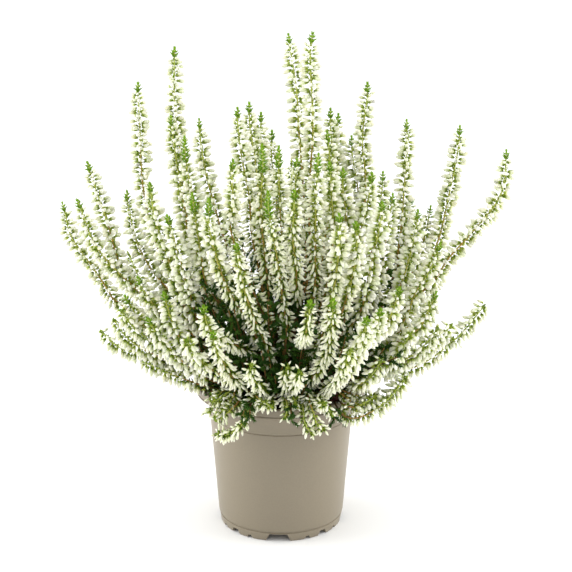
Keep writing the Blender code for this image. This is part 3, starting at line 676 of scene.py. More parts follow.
def settle(spikes, rounds=120):
    """Bends the spikes apart until each has room, mostly in depth, so the picture's courses stay."""
    owner = np.concatenate([np.full(len(spike["points"]), index) for index, spike in enumerate(spikes)])
    names = [spike["spray"] for spike in spikes]
    group = np.array([names.index(name) for name in names])[owner]
    reach = np.concatenate([reach_along(spike) for spike in spikes])
    ends = np.cumsum([0] + [len(spike["points"]) for spike in spikes])
    points = np.vstack([spike["points"] for spike in spikes])
    courses = points.copy()
    yielding = np.where(reach[:, None] < 3 * MM, (0.8, 1.0, 0.2), (0.3, 1.0, 0.3))
    for turn in range(rounds):
        if turn % 10 == 0:
            first, second = close_pairs(points, group, 2 * SPIKE_RADIUS + 12 * MM).T
        apart = points[first] - points[second]
        gap = np.linalg.norm(apart, axis=1) + 1e-9
        short = np.maximum(reach[first] + reach[second] + 2 * NODE_GAP - gap, 0)
        force = 0.5 * apart * (short / gap)[:, None]
        push = np.zeros_like(points)
        np.add.at(push, first, force)
        np.add.at(push, second, -force)
        push *= yielding
        size = np.linalg.norm(push, axis=1, keepdims=True)
        push *= np.minimum(1, 2.0 * MM / np.maximum(size, 1e-9))
        push += 0.6 * pot_push(points, reach, 4.5 * MM)
        for index, spike in enumerate(spikes):
            span = slice(ends[index], ends[index + 1])
            moved = push[span]
            smooth = np.vstack([moved[:1], moved[:1], moved, moved[-1:], moved[-1:]])
            moved = smooth[:-4] + 2 * smooth[1:-3] + 3 * smooth[2:-2] + 2 * smooth[3:-1] + smooth[4:]
            moved = moved / 9
            if spike["joint"] is None:
                moved[:3, 2] = 0
                moved[:3, :2] = push[span][:3, :2].mean(axis=0)
            points[span] += moved
            bent = points[span] - courses[span]
            bent[3:-1] += EASING * (0.5 * (bent[2:-2] + bent[4:]) - bent[3:-1])
            points[span] = courses[span] + bent
            if spike["joint"]:
                main, joint = spike["joint"]
                shift = points[ends[main] + joint] - points[ends[index]]
                fade = np.clip(1 - np.arange(ends[index + 1] - ends[index]) / 6, 0, 1)
                points[span] += shift * fade[:, None]
    for index, spike in enumerate(spikes):
        spike["points"] = points[ends[index] : ends[index + 1]]


def frames_along(points):
    """A sideways and an upward direction at each point, carried along the course without twisting."""
    tangents = np.gradient(points, axis=0)
    tangents /= np.linalg.norm(tangents, axis=1, keepdims=True)
    side = np.cross(tangents[0], (0.31, 0.87, 0.12))
    sides = []
    for tangent in tangents:
        side = side - tangent * (side @ tangent)
        side /= np.linalg.norm(side)
        sides.append(side)
    sides = np.array(sides)
    return tangents, sides, np.cross(tangents, sides)


def stem_course(points):
    """A smooth fine course with its length along it and a frame at each point."""
    points = resample(points, FINE_STEP)
    along = np.concatenate([[0], np.cumsum(np.linalg.norm(np.diff(points, axis=0), axis=1))])
    tangents, sides, ups = frames_along(points)
    return {"points": points, "along": along, "tangents": tangents, "sides": sides, "ups": ups}


def at(course, height):
    """Place, direction, side and up of a course at a height along it."""
    rows = []
    for key in ("points", "tangents", "sides", "ups"):
        row = [np.interp(height, course["along"], course[key][:, axis]) for axis in range(3)]
        rows.append(Vector(row))
    return rows


def turned(way, other, angle):
    """A way turned towards another one, square to it, by an angle."""
    return way * math.cos(angle) + other * math.sin(angle)


def square_to(direction, turn):
    """A way square to a direction, at a turn round it."""
    return Matrix.Rotation(turn, 3, direction) @ direction.orthogonal().normalized()


def small_shape(name, bm, material, along=None):
    """A small closed shape that is copied many times, and its marks of height: its Z unless given."""
    bmesh.ops.recalc_face_normals(bm, faces=bm.faces)
    for face in bm.faces:
        face.material_index = material
        face.smooth = True
    mesh = bpy.data.meshes.new(name)
    bm.to_mesh(mesh)
    bm.free()
    heights = np.array([vert.co.z for vert in mesh.vertices])
    return mesh, heights if along is None else along


def bud_shape(bend, plump):
    """A closed flower on its thin stalk: four-sided, plump in the middle, with a pointed tip."""
    rings = (
        (0.0, 0.0),
        (0.27, 0.045),
        (0.40, 0.72 * plump),
        (0.66, plump),
        (0.89, 0.62 * plump),
        (1.0, 0.0),
    )
    bm = bmesh.new()
    bmesh.ops.create_uvsphere(bm, u_segments=4, v_segments=5, radius=1)
    levels = sorted({round(vert.co.z, 3) for vert in bm.verts})
    marks = []
    for vert in bm.verts:
        level = levels.index(round(vert.co.z, 3))
        height, radius = rings[level]
        turn = math.atan2(vert.co.y, vert.co.x) + 0.3 * level
        vert.co = Vector((radius * math.cos(turn), radius * math.sin(turn), height))
        marks.append(height)
        over = max(height - 0.3, 0)
        vert.co.y -= math.sin(bend) * over
        vert.co.z -= (1 - math.cos(bend)) * over
    return small_shape("flower", bm, 0, np.array(marks))


def leaf_shape():
    """A narrow scale leaf, keeled, pointed at both ends."""
    bm = bmesh.new()
    bmesh.ops.create_uvsphere(bm, u_segments=4, v_segments=2, radius=1)
    for vert in bm.verts:
        middle = abs(vert.co.z) < 0.5
        vert.co = Vector((vert.co.x * 0.26, vert.co.y * 0.13, 0.42 if middle else (vert.co.z + 1) / 2))
        if middle:
            vert.co.y -= 0.05
    return small_shape("scale_leaf", bm, 1)


def bract_shape():
    """A tiny three-sided bract."""
    bm = bmesh.new()
    bmesh.ops.create_cone(bm, cap_ends=True, segments=3, radius1=0.34, radius2=0.0, depth=1)
    for vert in bm.verts:
        vert.co = Vector((vert.co.x, vert.co.y * 0.55, vert.co.z + 0.5))
    return small_shape("bract", bm, 1)


def twig_shape():
    """The thin stem of a side twig."""
    bm = bmesh.new()
    bmesh.ops.create_cone(bm, cap_ends=True, segments=3, radius1=0.04, radius2=0.015, depth=1)
    bmesh.ops.translate(bm, verts=bm.verts, vec=(0, 0, 0.5))
    return small_shape("twig", bm, 1)


def small_shapes():
    """Every shape that the plant repeats, one unit long up Z."""
    return {
        "plump": bud_shape(0, 0.22),
        "hanging": bud_shape(NOD, 0.19),
        "slim": bud_shape(NOD, 0.14),
        "bract": bract_shape(),
        "leaf": leaf_shape(),
        "twig": twig_shape(),
    }


def drop_shapes(shapes):
    """Removes the small shapes once their copies are made."""
    for mesh, _ in shapes.values():
        bpy.data.meshes.remove(mesh)


def new_piece(shapes, rng):
    """An empty piece of the plant, with the shapes that it repeats and its source of chance."""
    return {"bm": bmesh.new(), "marks": [], "shapes": shapes, "rng": rng}


def stamp(piece, kind, place, age, tint):
    """Adds a copy of a small shape, with its age and tint kept for the materials. A flower keeps its
    share of the plant's middle in place of its age, and that share sets its painted light.
    """
    mesh, along = piece["shapes"][kind]
    mesh.transform(place)
    piece["bm"].from_mesh(mesh, face_normals=False, vertex_normals=False)
    mesh.transform(place.inverted())
    marks = np.ones((len(along), 4))
    marks[:, 0] = along
    marks[:, 1] = age
    marks[:, 2] = tint
    piece["marks"].append(marks)


def placed(spot, direction, size, towards=(0, 0, 1)):
    """The transform that stands a unit shape at a spot, along a direction, its Y side towards a way."""
    z = direction.normalized()
    y = Vector(towards) - z * z.dot(Vector(towards))
    if y.length < 0.01:
        y = z.orthogonal()
    y.normalize()
    turn = Matrix((y.cross(z), y, z)).transposed()
    return Matrix.LocRotScale(spot, turn.to_quaternion(), Vector((size, size, size)))


def add_stem(piece, course, top, foot_radius, tip_radius, sides=5, youth=1.0):
    """A tapering stem along a course, up to a height."""
    rows = max(3, round(top / STEM_ROW))
    bm = bmesh.new()
    height = bm.verts.layers.float.new("height")
    bmesh.ops.create_grid(bm, x_segments=sides, y_segments=rows, size=1)
    for vert in bm.verts:
        share = (vert.co.y + 1) / 2
        turn = (vert.co.x + 1) * math.pi
        spot, _, side, up = at(course, share * top)
        vert.co = spot + (foot_radius + (tip_radius - foot_radius) * share) * turned(side, up, turn)
        vert[height] = share
    bmesh.ops.remove_doubles(bm, verts=bm.verts, dist=0.00001)
    bmesh.ops.holes_fill(bm, edges=bm.edges, sides=sides)
    piece["shapes"]["stem"] = small_shape("stem", bm, 2, [youth * vert[height] for vert in bm.verts])
    stamp(piece, "stem", Matrix.Identity(4), 1.0, 0.5)
    bpy.data.meshes.remove(piece["shapes"].pop("stem")[0])


def add_object(name, bm, *materials):
    """A finished bmesh as an object of the scene, with its materials."""
    mesh = bpy.data.meshes.new(name)
    bm.to_mesh(mesh)
    bm.free()
    for material in materials:
        mesh.materials.append(material)
    built = bpy.data.objects.new(name, mesh)
    bpy.context.scene.collection.objects.link(built)
    return built


def finish_piece(name, piece, materials, slot_name, *nodes):
    """The piece as an object that rides with the part and stands for its solids, if it has any."""
    built = add_object(name, piece["bm"], *materials)
    growth = built.data.attributes.new("growth", "FLOAT_COLOR", "POINT")
    growth.data.foreach_set("color", np.vstack(piece["marks"]).astype(np.float32).ravel())
    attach(built, "root")
    if nodes:
        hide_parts(*nodes)


def inside_pot(spot):
    """Whether a place lies in the pot's wall or in the soil inside it."""
    if spot.z > RIM_HEIGHT + 0.3 * MM:
        return False
    flat = math.hypot(spot.x, spot.y)
    outer = float(np.interp(spot.z / MM, WALL_HEIGHTS, WALL_OUTER)) * MM
    inner = float(np.interp(spot.z / MM, WALL_HEIGHTS, WALL_INNER)) * MM
    return inner < flat < outer or (flat <= inner and spot.z < SOIL_TOP)


def heart_share(spot):
    """How far out of the plant's shady heart a place is: 1 on its edge, less within."""
    x, y, z = ((spot[axis] - HEART_MIDDLE[axis]) / HEART[axis] for axis in range(3))
    return (x**2 + y**2 + z**2) ** 0.5


def inner_share(spot):
    """How far within the middle of the plant a place is: 1 there, 0 on its outer spikes. It sets painted
    light: flowers are painted brighter against the shade in the middle, and darker outside in the strong
    side light.
    """
    out = math.hypot(spot[0] / INNER_REACH[0], (spot[2] - HEART_MIDDLE[2]) / INNER_REACH[1])
    return min(1.0, max(0.0, (INNER_EDGE - out) / INNER_FADE))


def add_flower(piece, course, height, turn, age, shade, hang):
    """One closed flower: it stands out from an upright stem, and hangs from a level one."""
    rng = piece["rng"]
    spot, along, side, up = at(course, height)
    # white: the place's share of the plant's middle. It sets the flower's size, slimness and droop, and
    # its painted light: brighter in the shady middle, darker outside
    white = inner_share(spot)
    if rng.random() > (heart_share(spot) - shade) / HEART_BLUR:
        return
    outward = turned(side, up, turn)
    size = FLOWER_LENGTH * (YOUNG_LENGTH + (1 - YOUNG_LENGTH) * age) * (1 - INNER_LOSS * white)
    size *= rng.uniform(0.88, 1.12)
    rise = math.radians(YOUNG_RISE - RISE_LOSS * age + rng.uniform(-RISE_SPREAD, RISE_SPREAD))
    direction = turned(outward, along, rise)
    level = 1 - abs(along.z)
    droop = (hang + 0.2 * white) * (1 - level) + 0.8 * level
    direction.z -= droop * age * rng.uniform(0.1, 1.3)
    direction.normalize()
    start = spot + outward * FLOWER_OUT * MM
    if inside_pot(start + direction * size):
        return
    slim_chance = 1.8 * white - 0.4
    if rng.random() < slim_chance:
        kind = "slim"
    elif spot.z > LOW_HEIGHT:
        kind = "plump"
    else:
        kind = "hanging"
    tint = rng.random()
    # The flower's colour mark is its share of the middle, which sets its painted light
    stamp(piece, kind, placed(start, direction, size), white, tint)
    cup = start + direction * size * BRACT_SHARE
    # Painted light and shade: bracts are painted darker green in the shady middle of the plant and paler
    # on the outer spikes
    green = 0.7 - 0.17 * white
    for index in range(3):
        spread = square_to(direction, index * 2 * math.pi / 3 + rng.uniform(-0.5, 0.5))
        lean = (direction + spread * rng.uniform(0.5, 1.0)).normalized()
        length = rng.uniform(*BRACT_LENGTHS) * MM * (0.7 + 0.3 * age)
        place = placed(cup + spread * BRACT_OUT * MM, lean, length)
        stamp(piece, "bract", place, green + rng.uniform(-0.14, 0.14), tint)


def add_tuft(piece, course, tall, thick, bright):
    """The leafy tip of a spike: whorls of scale leaves that close to a point."""
    rng = piece["rng"]
    length = course["along"][-1]
    levels = max(4, round(tall / TUFT_STEP))
    for level in range(levels):
        share = level / (levels - 1)
        spot, along, side, up = at(course, length - TUFT_DROP - tall * (1 - share))
        for index in range(4):
            turn = index * math.pi / 2 + level * math.pi / 4 + rng.uniform(-0.15, 0.15)
            lean = math.radians((62 if level else 40) - 46 * share**3 + rng.uniform(-7, 7))
            direction = turned(along, turned(side, up, turn), lean)
            size = (4.0 - 1.4 * share) * MM * thick * (1 if level else 0.75)
            place = placed(spot, direction, size, along)
            stamp(piece, "leaf", place, bright - 0.14 * (1 - share), rng.random())
    spot, along, _, _ = at(course, length - 4 * MM)
    stamp(piece, "leaf", placed(spot, along, TIP_LEAF), bright, 0.5)


def add_leaves(piece, course, bottom, top, spacing, size, age, lean, spread=8):
    """Pairs of scale leaves that climb a stem, each pair across the last."""
    rng = piece["rng"]
    height = bottom
    pair = 0
    while height < top:
        spot, along, side, up = at(course, height)
        for half in (0, math.pi):
            outward = turned(side, up, half + pair * math.pi / 2 + rng.uniform(-0.3, 0.3))
            direction = turned(along, outward, math.radians(lean + rng.uniform(-spread, spread)))
            start = spot + outward * LEAF_OUT * MM
            if not inside_pot(start + direction * size):
                place = placed(start, direction, size * rng.uniform(0.85, 1.15), along)
                stamp(piece, "leaf", place, age * rng.uniform(0.8, 1.2), rng.random())
        height += spacing
        pair += 1


def tuft_look(tall, low, away, rng):
    """How thick and how bright the leafy tip of a spike is."""
    if low or away:
        thick = rng.uniform(0.55, 0.7)
    elif tall == TUFT:
        thick = rng.uniform(1.05, 1.3)
    else:
        thick = 1.25
    if away:
        return thick, 0.68
    return thick, rng.uniform(0.8, 0.92) if low else 1.0


def pair_step(course, height, age, low, away):
    """How far below a pair of flowers the next pair is."""
    if low:
        return PAIR_LOW_OUTER + (PAIR_LOW - PAIR_LOW_OUTER) * inner_share(at(course, height)[0])
    if away:
        return PAIR_AWAY
    return PAIR_YOUNG + (PAIR_GROWN - PAIR_YOUNG) * age


def build_spike(piece, spike):
    """One flowering spike: stem, leaves, pairs of flowers from the neck down, and the leafy tip."""
    rng = piece["rng"]
    course = stem_course(spike["points"])
    length = course["along"][-1]
    rooted = spike["joint"] is None
    trailing = spike["spray"] == "trailer"
    away = spike["spray"].startswith("back")
    low = course["points"][-1][2] < LOW_HEIGHT
    habit = LOW_HABIT if low else HIGH_HABIT
    hang = TRAILER_HANG if trailing else habit["hang"]
    start = (TRAILER_START if trailing else flower_start(spike)) * length
    foot_radius = MAIN_STEM if rooted else BRANCH_STEM
    add_stem(piece, course, length - STEM_STOP, foot_radius, STEM_TIP, youth=habit["youth"])
    tall = spike.get("tuft", SMALL_TUFT if low or away else TUFT)
    add_tuft(piece, course, tall, *tuft_look(tall, low, away, rng))
    top = length - tall - habit["neck"]
    add_leaves(piece, course, top - NECK_STEP, length - tall, NECK_STEP, NECK_LEAF, 0.6, 20)
    height = top
    turn = rng.uniform(0, math.pi)
    while height > start:
        age = min(1.0, (top - height + habit["lead"]) / habit["ripening"]) ** 0.7
        for half in (0, math.pi):
            lift = rng.uniform(-PAIR_SPREAD, PAIR_SPREAD) * MM
            grown = age * rng.uniform(0.88, 1.0)
            way = turn + half + rng.uniform(-0.7, 0.7)
            add_flower(piece, course, height + lift, way, grown, habit["shade"], hang)
        height -= pair_step(course, height, age, low, away)
        turn += PAIR_TURN
    middle = (start + top) / 2
    step = habit["leaf_step"]
    add_leaves(piece, course, middle, top, step, SPIKE_LEAF, habit["leaf_age"], 34)
    add_leaves(piece, course, start, middle, 1.4 * step, SPIKE_LEAF, 0.52, 34)
    shady = [row for row, spot in zip(course["along"], course["points"]) if heart_share(spot) < 1.05]
    bare = BARE_FOOT if rooted else BARE_BRANCH
    if shady and max(shady) > bare:
        add_leaves(piece, course, bare, max(shady), SHADY_STEP, SHADY_LEAF, 0.16, 48, 16)


def build_leafy_shoot(piece, spike):
    """A dark shoot without flowers: short side twigs thick with scale leaves."""
    rng = piece["rng"]
    course = stem_course(spike["points"])
    length = course["along"][-1]
    trailing = spike["spray"] == "trailer"
    add_stem(piece, course, length - SHOOT_STOP, SHOOT_STEM, SHOOT_TIP, 4, 0.3)
    height = TWIG_FOOT if spike["joint"] is None else TWIG_BRANCH
    turn = rng.uniform(0, 6.28)
    while height < length:
        reach = rng.uniform(*(TRAILER_TWIG_LENGTHS if trailing else TWIG_LENGTHS)) * MM
        add_twig(piece, course, height, turn, reach, rng.uniform(0.14, 0.32))
        height += TRAILER_TWIG_STEP if trailing else TWIG_STEP
        turn += TWIG_TURN


def add_twig(piece, course, height, turn, length, age):
    """A short side twig: a thin stem clad in whorls of small leaves."""
    rng = piece["rng"]
    spot, along, side, up = at(course, height)
    direction = (along * rng.uniform(0.7, 1.3) + turned(side, up, turn)).normalized()
    if inside_pot(spot + direction * length):
        return
    stamp(piece, "twig", placed(spot, direction, length), age, 0.5)
    whorls = max(4, round(length / WHORL_STEP))
    for whorl in range(whorls):
        spine = spot + direction * length * ((whorl + 0.5) / whorls)
        for part in range(3):
            spread = square_to(direction, part * WHORL_PART + whorl * WHORL_TURN)
            lean = (direction + spread * rng.uniform(0.5, 1.2)).normalized()
            place = placed(spine, lean, rng.uniform(*WHORL_LEAVES) * MM, direction)
            stamp(piece, "bract", place, age, rng.random())


def build_plant(spikes, materials):
    """A fine piece for every spray and leafy shoot."""
    rng = random.Random(SEED)
    shapes = small_shapes()
    for name in dict.fromkeys(spike["spray"] for spike in spikes):
        piece = new_piece(shapes, rng)
        members = [spike for spike in spikes if spike["spray"] == name]
        leafy = members[0]["leafy"]
        for order, spike in enumerate(members):
            if (name, order) in LONG_TUFTS:
                spike["tuft"] = LONG_TUFTS[name, order] * MM
            (build_leafy_shoot if leafy else build_spike)(piece, spike)
        node = name if leafy else f"spray_{name}"
        finish_piece(f"fine_{node}", piece, materials, "leaves" if leafy else "flowers", node)
    drop_shapes(shapes)


def side_spike(controls, spray):
    """A spike or shoot that no solid stands for, on a smooth course through the control points."""
    return {"spray": spray, "points": spline(controls, STEP), "joint": (0, 0), "leafy": False}


def build_trailers(materials):
    """Short sprays and leafy shoots over the front of the rim, and two upright spikes on the right."""
    rng = random.Random(SEED + 3)
    shapes = small_shapes()
    piece = new_piece(shapes, rng)
    for spray, build, courses in (
        ("trailer", build_spike, TRAILERS),
        ("filler", build_spike, RIGHT_FILLERS),
        ("trailer", build_leafy_shoot, LEAFY_TRAILERS),
    ):
        for pixels in courses:
            controls = [pixel_place(*pixel) for pixel in reversed(pixels)]
            build(piece, side_spike(controls, spray))
    finish_piece("rim_trailers", piece, materials, "flowers")
    drop_shapes(shapes)


def build_undergrowth(materials):
    """Short dark leafy shoots deep in the bush, which close the gaps between the sprays."""
    rng = random.Random(SEED + 1)
    shapes = small_shapes()
    piece = new_piece(shapes, rng)
    for _ in range(UNDERGROWTH):
        turn = rng.uniform(0, 2 * math.pi)
        reach = UNDERGROWTH_FOOT * math.sqrt(rng.random())
        rise = rng.uniform(*UNDERGROWTH_HEIGHTS) * MM
        lean = min(reach / UNDERGROWTH_FOOT * rng.uniform(0.5, 1.25), (UNDERGROWTH_REACH - reach) / rise)
        foot = np.array([reach * math.cos(turn), reach * math.sin(turn), SOIL_TOP - 2 * MM])
        if math.dist(foot[:2], HEAP) < HEAP_REACH:
            continue
        tip = foot + np.array([math.cos(turn) * lean * rise, math.sin(turn) * lean * rise, rise])
        mid = (foot + tip) / 2 + np.array([0, 0, 0.1 * rise])
        if lean > 0.6:
            mid[2] = max(mid[2], RIM_HEIGHT + RIM_CLEAR)
        build_leafy_shoot(piece, side_spike([foot, mid, tip], "undergrowth"))
    finish_piece("undergrowth", piece, materials, "leaves")
    drop_shapes(shapes)


def new_material(name, roughness, specular=0.5):
    """A material, its tree of nodes and its shader."""
    material = bpy.data.materials.new(name)
    material.use_nodes = True
    shader = material.node_tree.nodes["Principled BSDF"]
    shader.inputs["Roughness"].default_value = roughness
    shader.inputs["Specular IOR Level"].default_value = specular
    return material, material.node_tree, shader


def colour_ramp(tree, factor, stops):
    """A ramp of colours driven by a factor."""
    ramp = tree.nodes.new("ShaderNodeValToRGB")
    ramp.color_ramp.elements[0].position = stops[0][0]
    ramp.color_ramp.elements[0].color = (*stops[0][1], 1)
    ramp.color_ramp.elements[1].position = stops[-1][0]
    ramp.color_ramp.elements[1].color = (*stops[-1][1], 1)
    for position, colour in stops[1:-1]:
        ramp.color_ramp.elements.new(position).color = (*colour, 1)
    tree.links.new(factor, ramp.inputs["Fac"])
    return ramp.outputs["Color"]


def maths(tree, operation, first, second):
    """The outcome of one operation on two values, each a number or a node's output."""
    node = tree.nodes.new("ShaderNodeMath")
    node.operation = operation
    for socket, value in zip(node.inputs, (first, second)):
        if isinstance(value, (int, float)):
            socket.default_value = value
        else:
            tree.links.new(value, socket)
    return node.outputs[0]


def noise(tree, scale, detail, roughness=0.5):
    """A cloudy noise that is fixed to the piece."""
    place = tree.nodes.new("ShaderNodeTexCoord")
    made = tree.nodes.new("ShaderNodeTexNoise")
    made.inputs["Scale"].default_value = scale
    made.inputs["Detail"].default_value = detail
    made.inputs["Roughness"].default_value = roughness
    tree.links.new(place.outputs["Object"], made.inputs["Vector"])
    return made.outputs["Fac"]


def mixed(tree, mode, factor, first, second):
    """One colour mixed with another, by a number or a node's output."""
    mix = tree.nodes.new("ShaderNodeMix")
    mix.data_type = "RGBA"
    mix.blend_type = mode
    if isinstance(factor, float):
        mix.inputs["Factor"].default_value = factor
    else:
        tree.links.new(factor, mix.inputs["Factor"])
    tree.links.new(first, mix.inputs["A"])
    tree.links.new(second, mix.inputs["B"])
    return mix.outputs["Result"]


def growth_marks(tree):
    """The marks of a plant's piece: height along the shape, age (for a flower, its share of the plant's
    middle, which sets its painted light) and tint.
    """
    marks = tree.nodes.new("ShaderNodeAttribute")
    marks.attribute_name = "growth"
    parts = tree.nodes.new("ShaderNodeSeparateColor")
    tree.links.new(marks.outputs["Color"], parts.inputs["Color"])
    return parts.outputs[:3]


def add_surface(tree, shader, colour, grain, strength, depth):
    """Gives a shader its colour and a fine bump from a grain."""
    tree.links.new(colour, shader.inputs["Base Color"])
    bump = tree.nodes.new("ShaderNodeBump")
    bump.inputs["Strength"].default_value = strength
    bump.inputs["Distance"].default_value = depth
    tree.links.new(grain, bump.inputs["Height"])
    tree.links.new(bump.outputs["Normal"], shader.inputs["Normal"])


def white_bud_material():
    """Green at the stalk and off-white above. Flowers in the middle of the plant are a little warmer and
    painted brighter against the shade there; those on the outer spikes are painted darker in the strong
    side light.
    """
    material, tree, shader = new_material("white_bud", 0.6, 0.2)
    shader.inputs["Subsurface Weight"].default_value = 0.6
    shader.inputs["Subsurface Radius"].default_value = (1.0, 1.0, 0.9)
    shader.inputs["Subsurface Scale"].default_value = 0.002
    # white: the flower's share of the plant's middle, which sets its painted light
    along, white, tint = growth_marks(tree)
    height = maths(tree, "ADD", along, maths(tree, "MULTIPLY", white, 0.1))
    # Outer flowers: painted darker, against the strong side light on the outer spikes
    outer_stops = [
        (0.1, (0.42, 0.50, 0.11)),
        (0.36, (0.36, 0.45, 0.08)),
        (0.50, (0.78, 0.80, 0.59)),
        (0.78, (0.83, 0.84, 0.72)),
    ]
    # Middle flowers: painted brighter, against the shade in the middle of the plant
    inner_stops = [
        (0.2, (0.32, 0.38, 0.05)),
        (0.42, (0.44, 0.51, 0.09)),
        (0.54, (0.79, 0.82, 0.55)),
        (0.78, (0.87, 0.88, 0.68)),
    ]
    shade_stops = [(0.0, (0.86, 0.90, 0.76)), (0.5, (1.0, 1.0, 1.0)), (1.0, (0.99, 0.96, 0.90))]
    outer = colour_ramp(tree, height, outer_stops)
    inner = colour_ramp(tree, height, inner_stops)
    shade = colour_ramp(tree, tint, shade_stops)
    colour = mixed(tree, "MULTIPLY", 1.0, mixed(tree, "MIX", white, outer, inner), shade)
    add_surface(tree, shader, colour, noise(tree, 1500, 2), 0.25, 0.0002)
    return material


def leaf_material():
    """Dark green in the shade, pale green at the necks of the spikes and bright green at their tips."""
    material, tree, shader = new_material("heather_leaf", 0.6, 0.12)
    _, age, tint = growth_marks(tree)
    green_stops = [
        (0.0, (0.010, 0.030, 0.003)),
        (0.2, (0.030, 0.090, 0.011)),
        (0.42, (0.06, 0.13, 0.010)),
        (0.62, (0.19, 0.28, 0.016)),
        (0.74, (0.44, 0.53, 0.07)),
        (0.84, (0.13, 0.27, 0.012)),
        (1.0, (0.20, 0.37, 0.02)),
    ]
    green = colour_ramp(tree, age, green_stops)
    shade = colour_ramp(tree, tint, [(0.0, (0.72, 0.75, 0.7)), (1.0, (1.15, 1.1, 1.0))])
    colour = mixed(tree, "MULTIPLY", 1.0, green, shade)
    add_surface(tree, shader, colour, noise(tree, 1800, 2), 0.3, 0.0002)
    return material


def stem_material():
    """Brown bark at the foot of a stem that turns to fresh green at its tip."""
    material, tree, shader = new_material("heather_stem", 0.7, 0.12)
    along = growth_marks(tree)[0]
    grain = maths(tree, "MULTIPLY", maths(tree, "SUBTRACT", noise(tree, 260, 4), 0.5), 0.35)
    bark_stops = [
        (0.0, (0.03, 0.02, 0.008)),
        (0.2, (0.11, 0.06, 0.02)),
        (0.38, (0.37, 0.20, 0.06)),
        (0.64, (0.50, 0.31, 0.085)),
        (0.8, (0.58, 0.57, 0.13)),
        (1.0, (0.56, 0.66, 0.16)),
    ]
    bark = colour_ramp(tree, maths(tree, "ADD", along, grain), bark_stops)
    add_surface(tree, shader, bark, noise(tree, 900, 4), 0.4, 0.0003)
    return material


def pot_material():
    """Taupe plastic, a little cloudy, with fine darker specks."""
    material, tree, shader = new_material("pot_taupe_plastic", 0.42)
    cloud_stops = [(0.3, (0.224, 0.189, 0.131)), (0.7, (0.238, 0.201, 0.141))]
    speck_stops = [(0.35, (0.96, 0.96, 0.96)), (0.6, (1.0, 1.0, 1.0))]
    cloud = colour_ramp(tree, noise(tree, 18, 4), cloud_stops)
    speck = colour_ramp(tree, noise(tree, 900, 2), speck_stops)
    colour = mixed(tree, "MULTIPLY", 1.0, cloud, speck)
    add_surface(tree, shader, colour, noise(tree, 1400, 3), 0.08, 0.0002)
    return material


def soil_material(name, scale, stops):
    """A rough crumbly surface in the colours of its stops."""
    material, tree, shader = new_material(name, 0.9)
    colour = colour_ramp(tree, noise(tree, scale, 5, 0.6), stops)
    add_surface(tree, shader, colour, noise(tree, scale * 3, 4), 0.6, 0.0006)
    return material


def stepped(radius, height, steps):
    """Points of an outline at steps, in millimetres, from a radius and a height."""
    return [(radius + out * MM, height + up * MM) for out, up in steps]


def pot_outline():
    """The pot's wall and floor cut through: from the lip down the outside and back up the inside."""
    lip_radius = RIM_RADIUS - LIP_RADIUS
    lip_height = RIM_HEIGHT - LIP_RADIUS
    lip = [(math.cos(turn), math.sin(turn)) for turn in map(math.radians, (90, 67, 45, 22, 0))]
    return [
        *((lip_radius + LIP_RADIUS * out, lip_height + LIP_RADIUS * up) for out, up in lip),
        *stepped(RIM_RADIUS, RIM_HEIGHT, COLLAR_STEPS),
        *stepped(NECK_RADIUS, GROOVE_HEIGHT, GROOVE_STEPS),
        *stepped(FOOT_RADIUS, 0, FOOT_STEPS),
        (FOOT_RADIUS - FOOT_WALL, 0),
        (FOOT_RADIUS - 2.2 * MM, FLOOR_UNDER),
        (0, FLOOR_UNDER),
        (0, FLOOR_TOP),
        (FOOT_RADIUS - 0.6 * MM, FLOOR_TOP),
        (NECK_RADIUS - WALL - 0.1 * MM, GROOVE_HEIGHT - 1 * MM),
        *stepped(RIM_RADIUS - WALL, RIM_HEIGHT, ((-9.6, -17.2), (-7.6, -11.6), (-4.4, -6.6))),
        *stepped(RIM_RADIUS, RIM_HEIGHT, ((-2.4, -0.5), (-2.0, 0))),
    ]


def build_pot():
    """The fine pot: a spun shell with a rounded lip, a flared collar, two grooves and a notched foot."""
    bm = bmesh.new()
    verts = [bm.verts.new((radius, 0, height)) for radius, height in pot_outline()]
    edges = [bm.edges.new(pair) for pair in zip(verts, verts[1:] + verts[:1])]
    bmesh.ops.spin(
        bm, geom=verts + edges, cent=(0, 0, 0), axis=(0, 0, 1), dvec=(0, 0, 0),
        angle=2 * math.pi, steps=POT_STEPS, use_merge=True, use_duplicate=False,
    )
    bmesh.ops.remove_doubles(bm, verts=bm.verts, dist=0.00001)
    bmesh.ops.recalc_face_normals(bm, faces=bm.faces)
    pot = add_object("moulded_pot", bm)
    notches = bmesh.new()
    drains = bmesh.new()
    for quarter in range(4):
        turn = FOOT_TURN + quarter * math.pi / 2
        for away, below, above, height in NOTCHES:
            add_notch(notches, turn + math.radians(away), below * MM, above * MM, height * MM)
        spot = (DRAIN_REACH * math.cos(turn), DRAIN_REACH * math.sin(turn), 7.5 * MM)
        bmesh.ops.create_cone(
            drains, cap_ends=True, segments=32, radius1=DRAIN_RADIUS, radius2=DRAIN_RADIUS,
            depth=DRAIN_DEPTH, matrix=Matrix.Translation(spot),
        )
    cut_away(pot, notches)
    cut_away(pot, drains)
    pot.data.shade_smooth()
    pot.data.set_sharp_from_angle(angle=math.radians(38))
    pot.data.materials.append(pot_material())
    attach(pot, "root")
    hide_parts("pot")


def add_notch(bm, turn, foot_width, top_width, height):
    """A trapezoid through the foot ring, wider below."""
    made = bmesh.ops.create_cube(bm, size=1)["verts"]
    for vert in made:
        upper = vert.co.z > 0
        vert.co.y *= top_width if upper else foot_width
        vert.co.z = height if upper else -1 * MM
        vert.co.x = FOOT_RADIUS - 3 * MM + vert.co.x * 14 * MM
    bmesh.ops.rotate(bm, verts=made, cent=(0, 0, 0), matrix=Matrix.Rotation(turn, 3, "Z"))


